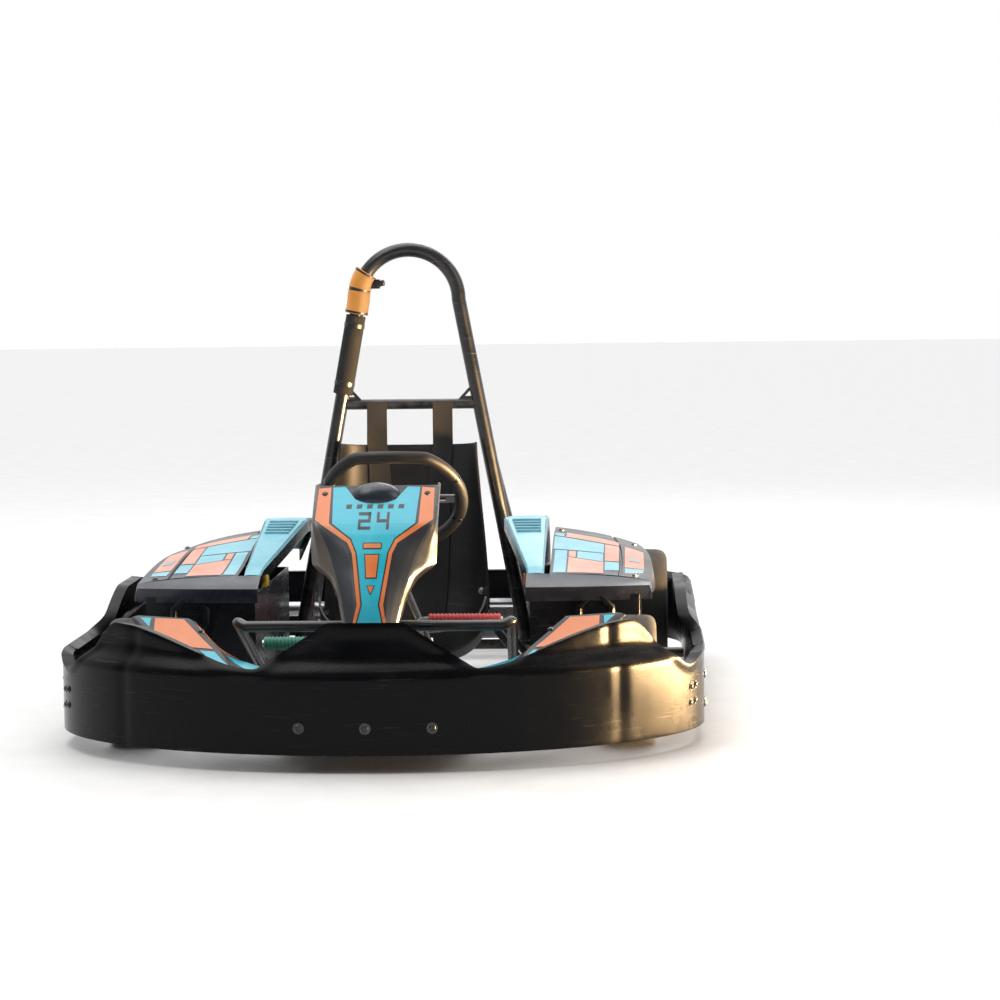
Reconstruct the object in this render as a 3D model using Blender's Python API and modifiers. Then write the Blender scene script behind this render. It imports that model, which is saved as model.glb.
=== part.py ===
"""Electric rental racing kart with a wrap-around bumper, side battery pods and a roll hoop.

Metres, +Z up. The kart stands on z = 0, its nose points to -Y and the driver's left is +X.
The origin lies under the middle of the overall box. Most places along the kart are given as a
distance back from the nose and turned into Y by at().
"""

import math

import bmesh
import bpy
from mathutils import Matrix, Vector

# ---------------------------------------------------------------- driving dimensions
LENGTH = 1.80
WIDTH = 1.32
WHEELBASE = 1.08

GAP = 0.0003
RUN_GAP = 0.0012

# bumper ring
BUMPER_WALL = 0.024
BUMPER_LOW = 0.035
NOSE_DEPTH = 0.42
TAIL_RADIUS = 0.20
TAIL_DEPTH = 0.24
LOW_RIM = 0.195
PLATEAU_RIM = 0.288
PLATEAU_HALF = 0.079
VALLEY_HALF = 0.215
WING_RIM = 0.272
CORNER_RIM = 0.168
SIDE_RIM = 0.272
TAIL_RIM = 0.200
LEAN_LOW = 0.185
LEAN_HIGH = 0.225
LEAN_STEP = 0.028
LEAN_SLOPE = 0.12
SEAM_RUN = 0.020

# frame tubes
RAIL_RADIUS = 0.016
CROSS_RADIUS = 0.014
BAR_RADIUS = 0.012
RAIL_HEIGHT = 0.070
BAR_HEIGHT = 0.0673
RAIL_HALF = 0.275
NOSE_RAIL_HALF = 0.14
RAIL_START = 0.10
RAIL_CLEAR = 0.00644
YOKE_PLATE = 0.006

# axles and wheels
FRONT_AXLE_BACK = 0.40
FRONT_TYRE_RADIUS = 0.127
FRONT_TYRE_WIDTH = 0.125
REAR_TYRE_RADIUS = 0.140
REAR_TYRE_WIDTH = 0.180
RIM_RADIUS = 0.0635
RIM_WALL = 0.004
TREAD_PROUD = 0.003
FRONT_INSET = 0.160
REAR_INSET = 0.150
KINGPIN_RADIUS = 0.005
KINGPIN_HEAD = 0.009
KINGPIN_OFFSET = 0.105
SPINDLE_BARREL = 0.060
SPINDLE_RADIUS = 0.016
STUB_RADIUS = 0.010
STEER_ARM = 0.100
AXLE_RADIUS = 0.0175
BEARING_WIDTH = 0.030
BEARING_HALF = 0.034

# steering
COLUMN_ANGLE = math.radians(42.0)
WHEEL_BACK = 0.758
WHEEL_HEIGHT = 0.467
WHEEL_RADIUS = 0.147
GRIP_RADIUS = 0.0135
COLUMN_RADIUS = 0.010
COLUMN_LENGTH = 0.500
COLLAR_AT = 0.200
PITMAN_AT = 0.470
PITMAN_ARM = 0.045
ROD_RADIUS = 0.006
ROD_SPREAD = 0.018
STRUT_HALF = 0.140

# seat
SEAT_HALF = 0.185
SEAT_WALL = 0.005
SEAT_BACK = 1.00
SEAT_TOP = 0.56
BELT_HALF = 0.022
BELT_WALL = 0.003
BELT_LIFT = 0.004
BELT_SPREAD = 0.36
BUCKLE_SHARE = 0.46
BUCKLE_RADIUS = 0.028

# pods
POD_START = 0.655
POD_LENGTH = 0.600
POD_WALL = 0.004
POD_INNER = 0.295
POD_WIDTH = 0.235
POD_TOP = 0.268
COVER_WALL = 0.004
COVER_INNER = 0.337
COVER_OVERHANG = 0.020
BAND_INNER = 0.287
BAND_DEPTH = 0.055
BAND_STEP = 0.008
HIP_TOP = 0.398
HIP_LIP = 0.030
DECK_RISE = 0.048
PACK_GAP = 0.006

# roll hoop
HOOP_BACK = 1.24
HOOP_HEIGHT = 1.026
HOOP_RADIUS = 0.0165
HOOP_FOOT_HALF = 0.268
HOOP_TOP_HALF = 0.117
HOOP_TOP_BREAK = 0.893
CROSSBAR_HEIGHT = 0.650
CROSSBAR_RADIUS = 0.012
BRACE_HEIGHT = 0.590
BRACE_RUN = 0.076 / 0.088
PAD_RADIUS = 0.027
FOAM_RADIUS = 0.023

# foot guard
GUARD_HALF = 0.275
GUARD_BACK = 0.222
GUARD_HEIGHT = 0.262
GUARD_RADIUS = 0.011

# pedals
PEDAL_BACK = 0.345
PEDAL_LEAN = 0.018
PEDAL_SHAFT_RADIUS = 0.006
PEDAL_BARREL = 0.011
BRAKE_PEDAL_X = 0.155
THROTTLE_PEDAL_X = -0.165
BRAKE_HEIGHT = 0.255
THROTTLE_HEIGHT = 0.210
SLEEVE_RADIUS = 0.014
PEDAL_BAR_RADIUS = 0.008
BRAKE_BAR_HALF = 0.085
THROTTLE_BAR_HALF = 0.060
BRAKE_ROD_HEIGHT = 0.137

# drive and brake
SPROCKET_RADIUS = 0.080
PINION_RADIUS = 0.032
SPROCKET_WALL = 0.006
CHAIN_DEPTH = 0.008
SPROCKET_X = -0.045
MOTOR_RADIUS = 0.058
MOTOR_LENGTH = 0.150
MOTOR_FORWARD = 0.125
MOTOR_RISE = 0.065
DISC_RADIUS = 0.092
DISC_WALL = 0.004
DISC_X = -0.190
CHAIN_GAP = 0.0015
MOTOR_CLEAR = 0.018

# ---------------------------------------------------------------- worked-out places
HALF_LENGTH = LENGTH / 2
HALF_WIDTH = WIDTH / 2
REAR_AXLE_BACK = FRONT_AXLE_BACK + WHEELBASE
FRONT_WHEEL_X = HALF_WIDTH - FRONT_INSET
REAR_WHEEL_X = HALF_WIDTH - REAR_INSET
KINGPIN_X = FRONT_WHEEL_X - KINGPIN_OFFSET
RAIL_TOP = RAIL_HEIGHT + RAIL_RADIUS
BAR_TOP = BAR_HEIGHT + BAR_RADIUS
FRAME_BOTTOM = min(RAIL_HEIGHT - RAIL_RADIUS, BAR_HEIGHT - CROSS_RADIUS)
TRAY_WALL = 0.003
FLOOR = FRAME_BOTTOM - GAP
TAIL_INNER = LENGTH - BUMPER_WALL - GAP
SIDE_END = LENGTH - TAIL_DEPTH
COLUMN_AXIS = Vector((0.0, math.cos(COLUMN_ANGLE), math.sin(COLUMN_ANGLE)))
COLUMN_UP = Vector((0.0, -math.sin(COLUMN_ANGLE), math.cos(COLUMN_ANGLE)))
MOTOR_BACK = REAR_AXLE_BACK - MOTOR_FORWARD
MOTOR_HEIGHT = REAR_TYRE_RADIUS + MOTOR_RISE
SHAFT_HEIGHT = RAIL_TOP + RUN_GAP + PEDAL_SHAFT_RADIUS
SIDES = {"left": 1, "right": -1}


def at(back):
    """Y of a point that lies this far behind the nose."""
    return back - HALF_LENGTH


def point(x, back, z):
    """A point from its X, its distance behind the nose and its height."""
    return Vector((x, at(back), z))


# ---------------------------------------------------------------- scene and materials
def clear_scene():
    for obj in list(bpy.data.objects):
        bpy.data.objects.remove(obj, do_unlink=True)


def new_collection(name, hidden=False):
    found = bpy.data.collections.new(name)
    bpy.context.scene.collection.children.link(found)
    found.hide_render = hidden
    return found


clear_scene()
PARTS = new_collection("racing_kart")
CUTTERS = new_collection("cutters", hidden=True)

BLACK_PLASTIC = (0.016, 0.018, 0.022)
DARK_PLASTIC = (0.030, 0.034, 0.042)
CYAN = (0.060, 0.480, 0.620)
ORANGE = (0.900, 0.300, 0.080)
STEEL = (0.55, 0.56, 0.58)
FRAME_BLACK = (0.020, 0.020, 0.022)
RUBBER = (0.018, 0.018, 0.018)
RED = (0.700, 0.080, 0.070)
GREEN = (0.080, 0.330, 0.230)
ALLOY = (0.62, 0.63, 0.65)
SEAT_GREY = (0.035, 0.036, 0.040)


def material(name, colour, roughness=0.5, metallic=0.0):
    found = bpy.data.materials.new(name)
    found.use_nodes = True
    shader = found.node_tree.nodes["Principled BSDF"]
    shader.inputs["Base Color"].default_value = (*colour, 1.0)
    shader.inputs["Roughness"].default_value = roughness
    shader.inputs["Metallic"].default_value = metallic
    return found


def finish(obj, name, colour, roughness=0.5, metallic=0.0, smooth=True):
    """Names the object, gives it its own material and shades it."""
    obj.name = name
    obj.data.name = name
    obj.data.materials.clear()
    obj.data.materials.append(material(name, colour, roughness, metallic))
    if smooth and isinstance(obj.data, bpy.types.Mesh):
        obj.data.shade_smooth()
        obj.data.set_sharp_from_angle(angle=math.radians(35.0))
    return obj


# ---------------------------------------------------------------- shape helpers
def place(data, name, collection=PARTS):
    obj = bpy.data.objects.new(name, data)
    collection.objects.link(obj)
    return obj


def from_bmesh(bm, name="piece", collection=PARTS):
    bmesh.ops.recalc_face_normals(bm, faces=bm.faces)
    mesh = bpy.data.meshes.new(name)
    bm.to_mesh(mesh)
    bm.free()
    return place(mesh, name, collection)


def box(low, high, collection=PARTS):
    """A box between two corners."""
    bm = bmesh.new()
    size = [b - a for a, b in zip(low, high)]
    middle = [(a + b) / 2 for a, b in zip(low, high)]
    bmesh.ops.create_cube(bm, size=1.0, matrix=Matrix.Translation(middle) @ Matrix.Diagonal((*size, 1.0)))
    return from_bmesh(bm, collection=collection)


def cylinder(start, end, radius, sides=16, collection=PARTS):
    """A closed cylinder between two points."""
    start = Vector(start)
    end = Vector(end)
    run = end - start
    turn = run.to_track_quat("Z", "Y").to_matrix().to_4x4()
    bm = bmesh.new()
    bmesh.ops.create_cone(
        bm, cap_ends=True, segments=sides, radius1=radius, radius2=radius, depth=run.length,
        matrix=Matrix.Translation((start + end) / 2) @ turn)
    return from_bmesh(bm, collection=collection)


def rounded(points, radius, steps=4):
    """The same path with each inner corner replaced by an arc of short runs."""
    points = [Vector(p) for p in points]
    path = [points[0]]
    for before, corner, after in zip(points, points[1:], points[2:]):
        back = (before - corner).normalized()
        on = (after - corner).normalized()
        angle = back.angle(on)
        cut = radius / math.tan(angle / 2)
        start = corner + back * cut
        end = corner + on * cut
        for step in range(steps + 1):
            share = step / steps
            low = start.lerp(corner, share)
            high = corner.lerp(end, share)
            path.append(low.lerp(high, share))
    path.append(points[-1])
    return path


def tube(points, radius, sides_half=2, closed=False, collection=PARTS):
    """A tube along a path as a welded mesh: a curve with a round bevel and filled caps."""
    curve = bpy.data.curves.new("tube", "CURVE")
    curve.dimensions = "3D"
    curve.bevel_depth = radius
    curve.bevel_resolution = sides_half
    curve.use_fill_caps = not closed
    spline = curve.splines.new("POLY")
    spline.points.add(len(points) - 1)
    for knot, place_at in zip(spline.points, points):
        knot.co = (*place_at, 1.0)
    spline.use_cyclic_u = closed
    return as_mesh(place(curve, "tube", collection), collection)


def as_mesh(obj, collection=PARTS):
    """Replaces a curve object by a closed mesh with the same place."""
    graph = bpy.context.evaluated_depsgraph_get()
    graph.update()
    mesh = bpy.data.meshes.new_from_object(obj.evaluated_get(graph))
    bm = bmesh.new()
    bm.from_mesh(mesh)
    bmesh.ops.remove_doubles(bm, verts=bm.verts, dist=0.00005)
    bmesh.ops.recalc_face_normals(bm, faces=bm.faces)
    bm.to_mesh(mesh)
    bm.free()
    new = place(mesh, "piece", collection)
    new.matrix_world = obj.matrix_world.copy()
    bpy.data.objects.remove(obj, do_unlink=True)
    return new


def plate(outline, thickness, matrix=None, holes=()):
    """A flat plate: a filled 2-D outline, extruded both ways by half its thickness."""
    curve = bpy.data.curves.new("plate", "CURVE")
    curve.dimensions = "2D"
    curve.fill_mode = "BOTH"
    curve.extrude = thickness / 2
    for loop in (outline, *holes):
        spline = curve.splines.new("POLY")
        spline.points.add(len(loop) - 1)
        for knot, (x, y) in zip(spline.points, loop):
            knot.co = (x, y, 0.0, 1.0)
        spline.use_cyclic_u = True
    obj = place(curve, "plate")
    obj.matrix_world = matrix or Matrix.Identity(4)
    bpy.context.view_layer.update()
    return as_mesh(obj)


def ring(profile, steps, matrix):
    """A turned piece: a closed profile of (radius, z) that runs down its outer side, screwed round Z."""
    bm = bmesh.new()
    corners = [bm.verts.new((radius, 0.0, z)) for radius, z in profile]
    for first, second in zip(corners, corners[1:] + corners[:1]):
        bm.edges.new((first, second))
    mesh = bpy.data.meshes.new("ring")
    bm.to_mesh(mesh)
    bm.free()
    obj = place(mesh, "ring")
    obj.matrix_world = matrix
    screw = obj.modifiers.new("screw", "SCREW")
    screw.steps = steps
    screw.render_steps = steps
    screw.use_merge_vertices = True
    screw.merge_threshold = 0.00005
    return obj


def join_to(obj, *others):
    """Welds other pieces on to this one with Boolean unions."""
    for other in others:
        boolean(obj, other, "UNION")
    return obj


def cut_from(obj, *others):
    """Takes other pieces out of this one."""
    for other in others:
        boolean(obj, other, "DIFFERENCE")
    return obj


def boolean(obj, other, operation):
    for holder in list(other.users_collection):
        holder.objects.unlink(other)
    CUTTERS.objects.link(other)
    other.hide_render = True
    other.display_type = "WIRE"
    modifier = obj.modifiers.new(operation.lower(), "BOOLEAN")
    modifier.operation = operation
    modifier.solver = "EXACT"
    modifier.object = other


def sheet(across, along, corner, wall, offset=-1.0):
    """A shell: a grid whose corner (i, j) goes where corner() says, with a Solidify wall."""
    bm = bmesh.new()
    bmesh.ops.create_grid(bm, x_segments=across, y_segments=along, size=1.0)
    for vert in bm.verts:
        share_x = (vert.co.x + 1.0) / 2
        share_y = (vert.co.y + 1.0) / 2
        vert.co = corner(share_x, share_y)
    mesh = bpy.data.meshes.new("sheet")
    bm.to_mesh(mesh)
    bm.free()
    obj = place(mesh, "sheet")
    solid = obj.modifiers.new("wall", "SOLIDIFY")
    solid.thickness = wall
    solid.offset = offset
    solid.use_even_offset = True
    return obj


def bevelled(obj, width, segments=1):
    modifier = obj.modifiers.new("edges", "BEVEL")
    modifier.width = width
    modifier.segments = segments
    modifier.limit_method = "ANGLE"
    modifier.angle_limit = math.radians(40.0)
    return obj


def circle(radius, count, middle=(0.0, 0.0)):
    turns = [2 * math.pi * step / count for step in range(count)]
    return [(middle[0] + radius * math.cos(a), middle[1] + radius * math.sin(a)) for a in turns]


def along_line(values, share):
    """Reads a list of equally spaced values at a share from 0 to 1, in straight runs between them."""
    spot = share * (len(values) - 1)
    low = min(int(spot), len(values) - 2)
    rest = spot - low
    return values[low] * (1 - rest) + values[low + 1] * rest


def smooth_step(low, high, value):
    share = min(max((value - low) / (high - low), 0.0), 1.0)
    return share * share * (3 - 2 * share)


# ---------------------------------------------------------------- bumper ring
def rim_lean(height):
    """How far the bumper's outer face lies inside its foot at a height: a step, then a slight slope."""
    return LEAN_STEP * smooth_step(LEAN_LOW, LEAN_HIGH, height) + LEAN_SLOPE * max(0.0, height - LEAN_HIGH)


def nose_rim(x):
    """Height of the front bumper's top edge: plateau, valley, wing and low corner."""
    x = abs(x)
    valley = LOW_RIM + 0.005
    wing_x = HALF_WIDTH - 0.125
    corner_x = HALF_WIDTH - 0.030
    if x < VALLEY_HALF:
        share = min(max((x - PLATEAU_HALF) / (VALLEY_HALF - PLATEAU_HALF), 0.0), 1.0)
        return PLATEAU_RIM + (valley - PLATEAU_RIM) * share
    if x < wing_x:
        return valley + (WING_RIM - valley) * smooth_step(VALLEY_HALF, wing_x, x)
    return WING_RIM + (CORNER_RIM - WING_RIM) * smooth_step(wing_x, corner_x, x)


def nose_corner(angle, share):
    """A point of the front bumper's outer face; angle runs from -90 to 90 degrees across the nose."""
    x = HALF_WIDTH * math.sin(angle)
    back = NOSE_DEPTH * (1.0 - math.cos(angle))
    rim = nose_rim(x) + (LOW_RIM - CORNER_RIM) * smooth_step(NOSE_DEPTH - 0.13, NOSE_DEPTH - 0.03, back)
    height = BUMPER_LOW + (rim - BUMPER_LOW) * share
    lean = rim_lean(height)
    inward = Vector((-math.sin(angle), math.cos(angle), 0.0))
    return point(x, back, height) + inward * lean


def nose_angles():
    """Stations across the nose: the corners of the plateau and valley, then even steps to each side."""
    corners = [0.0, math.asin(PLATEAU_HALF / HALF_WIDTH), math.asin(VALLEY_HALF / HALF_WIDTH)]
    last = math.radians(90.0)
    count = 12
    corners += [corners[2] + (last - corners[2]) * step / count for step in range(1, count + 1)]
    return [-angle for angle in reversed(corners[1:])] + corners


def front_bumper():
    """The nose: a wall across the front that ends in a short straight run on each side."""
    angles = nose_angles()
    angles = [angles[0]] + angles + [angles[-1]]
    count = len(angles) - 1

    def corner(across, up):
        station = round(across * count)
        spot = nose_corner(angles[station], up)
        if station in (0, count):
            spot.y += SEAM_RUN
        return spot

    obj = sheet(count, 4, corner, BUMPER_WALL, offset=-1.0)
    return finish(obj, "front_bumper", BLACK_PLASTIC, 0.35)


def side_rim(back):
    """Height of a side bumper's top edge: low beside the front wheel, then a step up by the pod."""
    rise = smooth_step(POD_START - 0.015, POD_START + 0.225, back)
    fall = smooth_step(POD_START + 0.385, POD_START + 0.545, back)
    return LOW_RIM + (SIDE_RIM - LOW_RIM) * rise + (TAIL_RIM - SIDE_RIM) * fall


def side_bumper(side):
    sign = SIDES[side]
    start = NOSE_DEPTH + SEAM_RUN + GAP
    end = SIDE_END - GAP

    def corner(across, up):
        back = start + (end - start) * across
        height = BUMPER_LOW + (side_rim(back) - BUMPER_LOW) * up
        return point(sign * (HALF_WIDTH - rim_lean(height)), back, height)

    obj = sheet(18, 4, corner, BUMPER_WALL, offset=-sign)
    return finish(obj, side + "_bumper", BLACK_PLASTIC, 0.35)


def rear_bumper():
    """The tail: a wall across the back that turns each corner and meets the side bumpers."""
    steps = 6
    half = HALF_WIDTH - TAIL_RADIUS
    quarter = [math.radians(90.0) * step / steps for step in range(steps + 1)]
    turn_start = SIDE_END + SEAM_RUN
    depth = TAIL_DEPTH - SEAM_RUN
    right = [(-HALF_WIDTH, SIDE_END)]
    right += [(-half - TAIL_RADIUS * math.cos(a), turn_start + depth * math.sin(a)) for a in quarter]
    left = [(-x, back) for x, back in reversed(right)]
    path = right + left
    count = len(path) - 1

    def corner(across, up):
        x, back = path[round(across * count)]
        height = BUMPER_LOW + (TAIL_RIM - BUMPER_LOW) * up
        inward = Vector((-x / HALF_WIDTH, 0.0, 0.0))
        return point(x, back, height) + inward * rim_lean(height)

    obj = sheet(count, 1, corner, BUMPER_WALL, offset=1.0)
    return finish(obj, "rear_bumper", BLACK_PLASTIC, 0.35)


# ---------------------------------------------------------------- frame
def rail_x(back):
    """X of a main rail's middle at a distance behind the nose."""
    share = min(max((back - RAIL_START) / (POD_START - RAIL_START), 0.0), 1.0)
    return NOSE_RAIL_HALF + (RAIL_HALF - NOSE_RAIL_HALF) * share


def mirrored(points):
    return [Vector((-p[0], p[1], p[2])) for p in points]


def rail_nose():
    """How far back a rail's front end lies, just inside the nose of the bumper."""
    turn = math.asin(NOSE_RAIL_HALF / HALF_WIDTH)
    return NOSE_DEPTH * (1.0 - math.cos(turn)) + BUMPER_WALL + RAIL_CLEAR


def frame_sides():
    """The rails, outriggers, bumper stays and wheel yokes of both sides."""
    tail = TAIL_INNER - RUN_GAP
    corners = [(NOSE_RAIL_HALF, rail_nose()), (NOSE_RAIL_HALF, RAIL_START), (RAIL_HALF, POD_START),
               (RAIL_HALF, tail)]
    rail = rounded([point(x, back, RAIL_HEIGHT) for x, back in corners], 0.05, 3)
    reach = HALF_WIDTH - BUMPER_WALL - GAP - RUN_GAP
    runs = [(rail, RAIL_RADIUS)]
    for back in (POD_START + 0.06, POD_START + POD_LENGTH - 0.06):
        outrigger = [point(RAIL_HALF - 0.008, back, BAR_HEIGHT), point(reach, back, BAR_HEIGHT)]
        runs.append((outrigger, BAR_RADIUS))
    stub = [point(rail_x(FRONT_AXLE_BACK), FRONT_AXLE_BACK, RAIL_HEIGHT),
            point(KINGPIN_X - 0.036, FRONT_AXLE_BACK, FRONT_TYRE_RADIUS)]
    runs.append((stub, CROSS_RADIUS))
    for back in (SEAT_BACK - 0.040, SEAT_BACK + 0.120):
        top = point(SEAT_HALF + 0.022, back, RAIL_HEIGHT + 0.085)
        runs.append(([point(RAIL_HALF - 0.004, back, RAIL_HEIGHT + 0.004), top], 0.008))
    return runs


def frame_crosses():
    """The cross tubes, as (distance back, half width, radius)."""
    return [
        (RAIL_START + 0.012, NOSE_RAIL_HALF, CROSS_RADIUS),
        (FRONT_AXLE_BACK, rail_x(FRONT_AXLE_BACK) - 0.004, BAR_RADIUS),
        (POD_START + 0.095, RAIL_HALF, BAR_RADIUS),
        (MOTOR_BACK, RAIL_HALF, BAR_RADIUS),
        (REAR_AXLE_BACK + 0.150, RAIL_HALF, CROSS_RADIUS),
    ]


def yoke(sign):
    """A C-shaped bracket that holds a kingpin: two plates joined by a web, both drilled."""
    half = SPINDLE_BARREL / 2 + RUN_GAP
    inner = KINGPIN_X - 0.040
    low = point(sign * inner, FRONT_AXLE_BACK - 0.020, FRONT_TYRE_RADIUS - half - YOKE_PLATE)
    high = point(sign * (KINGPIN_X + 0.018), FRONT_AXLE_BACK + 0.020, FRONT_TYRE_RADIUS + half + YOKE_PLATE)
    body = ordered_box(low, high)
    slot_low = point(sign * (inner + YOKE_PLATE), FRONT_AXLE_BACK - 0.030, FRONT_TYRE_RADIUS - half)
    slot_high = point(sign * (KINGPIN_X + 0.030), FRONT_AXLE_BACK + 0.030, FRONT_TYRE_RADIUS + half)
    slot = ordered_box(slot_low, slot_high)
    pin = point(sign * KINGPIN_X, FRONT_AXLE_BACK, FRONT_TYRE_RADIUS)
    drop = Vector((0.0, 0.0, half + 0.030))
    drill = cylinder(pin - drop, pin + drop, KINGPIN_RADIUS + GAP, 16)
    return body, slot, drill


def ordered_box(first, second):
    low = [min(a, b) for a, b in zip(first, second)]
    high = [max(a, b) for a, b in zip(first, second)]
    return box(low, high)


def chassis_frame():
    runs = frame_sides()
    tubes = [tube(points, radius) for points, radius in runs]
    tubes += [tube(mirrored(points), radius) for points, radius in runs]
    for back, half, radius in frame_crosses():
        tubes.append(tube([point(-half, back, BAR_HEIGHT), point(half, back, BAR_HEIGHT)], radius))
    frame = tubes[0]
    join_to(frame, *tubes[1:])
    for sign in SIDES.values():
        body, slot, drill = yoke(sign)
        join_to(frame, body)
        cut_from(frame, slot, drill)
    return finish(frame, "chassis_frame", FRAME_BLACK, 0.4, 0.3)


def floor_tray():
    """The sheet under the driver's feet, from the nose to the front of the seat."""
    end = POD_START + 0.20
    half = RAIL_HALF + 0.010
    nose = NOSE_RAIL_HALF + 0.010
    outline = [(nose, at(RAIL_START - 0.015)), (half, at(POD_START)), (half, at(end)),
               (-half, at(end)), (-half, at(POD_START)), (-nose, at(RAIL_START - 0.015))]
    obj = plate(outline, TRAY_WALL, Matrix.Translation((0.0, 0.0, FLOOR - TRAY_WALL / 2)))
    return finish(obj, "floor_tray", ALLOY, 0.4, 1.0, smooth=False)


# ---------------------------------------------------------------- fairings
FAIRING_FRONT = [(0.0, 0.050, 0.180), (0.150, 0.056, 0.170), (0.270, 0.090, 0.165), (0.400, 0.190, 0.200),
                 (0.493, 0.299, 0.274)]
FAIRING_RIDGE = [(0.0, 0.130, 0.185), (0.130, 0.135, 0.178), (0.253, 0.164, 0.179), (0.315, 0.225, 0.222),
                 (0.375, 0.284, 0.268)]
FAIRING_REAR = [(0.0, 0.200, 0.165), (0.120, 0.205, 0.168), (0.202, 0.240, 0.171), (0.300, 0.290, 0.195),
                (0.365, 0.325, 0.255)]
FAIRING_WALL = 0.004


def fairing_point(lines, across, along):
    """A point of the fairing: across runs over the nose, along from its front edge to its rear one."""
    out = 2.0 * across - 1.0
    widen = (HALF_WIDTH - BUMPER_WALL) / 0.626
    spots = [Vector([along_line([p[axis] for p in line], abs(out)) for axis in range(3)]) for line in lines]
    first = 0 if along < 0.5 else 1
    share = along * 2 - first
    spot = spots[first].lerp(spots[first + 1], share)
    return point(math.copysign(spot.x * widen, out), spot.y, spot.z)


def front_fairing():
    lines = (FAIRING_FRONT, FAIRING_RIDGE, FAIRING_REAR)
    obj = sheet(16, 4, lambda across, along: fairing_point(lines, across, along), FAIRING_WALL, offset=-1.0)
    return finish(obj, "front_fairing", ORANGE, 0.4)


# Each row of the steering fairing: height, distance back of its face, then the half width and the
# step back of its sticker edge, of its shoulder and of its flank.
NASSAU_ROWS = [
    (0.192, 0.086, (0.030, 0.002), (0.048, 0.016), (0.054, 0.040)),
    (0.272, 0.122, (0.030, 0.002), (0.050, 0.018), (0.058, 0.045)),
    (0.320, 0.150, (0.031, 0.002), (0.062, 0.020), (0.070, 0.055)),
    (0.350, 0.170, (0.034, 0.002), (0.072, 0.020), (0.088, 0.064)),
    (0.376, 0.188, (0.038, 0.002), (0.082, 0.020), (0.124, 0.060)),
    (0.405, 0.206, (0.046, 0.002), (0.092, 0.020), (0.126, 0.048)),
    (0.440, 0.232, (0.062, 0.002), (0.110, 0.012), (0.127, 0.032)),
    (0.460, 0.250, (0.084, 0.002), (0.119, 0.006), (0.127, 0.028)),
    (0.495, 0.296, (0.086, 0.002), (0.121, 0.004), (0.127, 0.030)),
    (0.529, 0.342, (0.063, 0.002), (0.122, 0.004), (0.127, 0.034)),
]
NASSAU_WALL = 0.004


def nassau_point(across, up):
    out = 2.0 * across - 1.0
    column = round(abs(out) * 3)
    height, back, *edges = NASSAU_ROWS[round(up * (len(NASSAU_ROWS) - 1))]
    half, step = (0.0, 0.0) if column == 0 else edges[column - 1]
    return point(math.copysign(half, out), back + step, height)


def steering_fairing():
    obj = sheet(6, len(NASSAU_ROWS) - 1, nassau_point, NASSAU_WALL, offset=-1.0)
    return finish(obj, "steering_fairing", CYAN, 0.35)


# ---------------------------------------------------------------- pods
def battery_box(side):
    """An open-topped box beside the seat, standing on the outriggers."""
    sign = SIDES[side]
    low = point(sign * POD_INNER, POD_START, BAR_TOP + GAP)
    high = point(sign * (POD_INNER + POD_WIDTH), POD_START + POD_LENGTH, POD_TOP)
    body = ordered_box(low, high)
    wall = Vector((sign * POD_WALL, POD_WALL, POD_WALL))
    inner = ordered_box(low + wall, Vector((high.x - wall.x, high.y - wall.y, POD_TOP + 0.05)))
    cut_from(body, inner)
    return finish(body, side + "_battery_box", DARK_PLASTIC, 0.4, smooth=False)


def battery_pack(side):
    sign = SIDES[side]
    inset = POD_WALL + PACK_GAP
    floor = BAR_TOP + GAP + POD_WALL + GAP
    low = point(sign * (POD_INNER + inset), POD_START + inset, floor)
    high = point(sign * (POD_INNER + POD_WIDTH - inset), POD_START + POD_LENGTH - inset, POD_TOP - 0.030)
    obj = bevelled(ordered_box(low, high), 0.006)
    return finish(obj, side + "_battery_pack", STEEL, 0.5, 0.6)


def cover_edge(back):
    """X of a pod cover's outer edge: it bows out a little and is drawn in at both ends."""
    share = (back - POD_START) / POD_LENGTH
    full = POD_INNER + POD_WIDTH + 0.030
    return full - 0.016 * (2.0 * share - 0.7) ** 2


def deck_height(across, back):
    """Height of a pod's deck: it climbs to the back and falls to the outside."""
    share = (back - POD_START) / POD_LENGTH
    rise = DECK_RISE * smooth_step(0.0, 0.80, share)
    return POD_TOP + 0.040 + rise * (1.0 - 0.55 * across) - 0.016 * across ** 3


def pod_cover(side):
    """The deck of a pod: a front band that leans back, the deck and a skirt down its outer side."""
    sign = SIDES[side]
    start = POD_START - COVER_OVERHANG
    end = POD_START + POD_LENGTH + COVER_OVERHANG
    rows = 11
    skirt = POD_TOP + GAP + RUN_GAP
    deck_start = start + BAND_DEPTH + BAND_STEP

    def corner(across, along):
        row = round(along * rows)
        column = round(across * 5)
        back = start + BAND_DEPTH
        if row >= 2:
            back = deck_start + (end - deck_start) * min(row - 2, rows - 3) / (rows - 3)
        edge = cover_edge(back)
        share = min(column, 4) / 4
        inner = COVER_INNER if row >= 2 else BAND_INNER
        x = inner + (edge - inner) * share
        z = deck_height(share, back)
        if row == 0:
            back = start + 0.028 * share ** 2
            z = POD_TOP + 0.018
        if row == rows:
            z = skirt
        if column == 5:
            x = edge + 0.006
            z = skirt
        return point(sign * x, back, z)

    obj = sheet(5, rows, corner, COVER_WALL, offset=-sign)
    return finish(obj, side + "_pod_cover", CYAN, 0.35)


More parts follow.
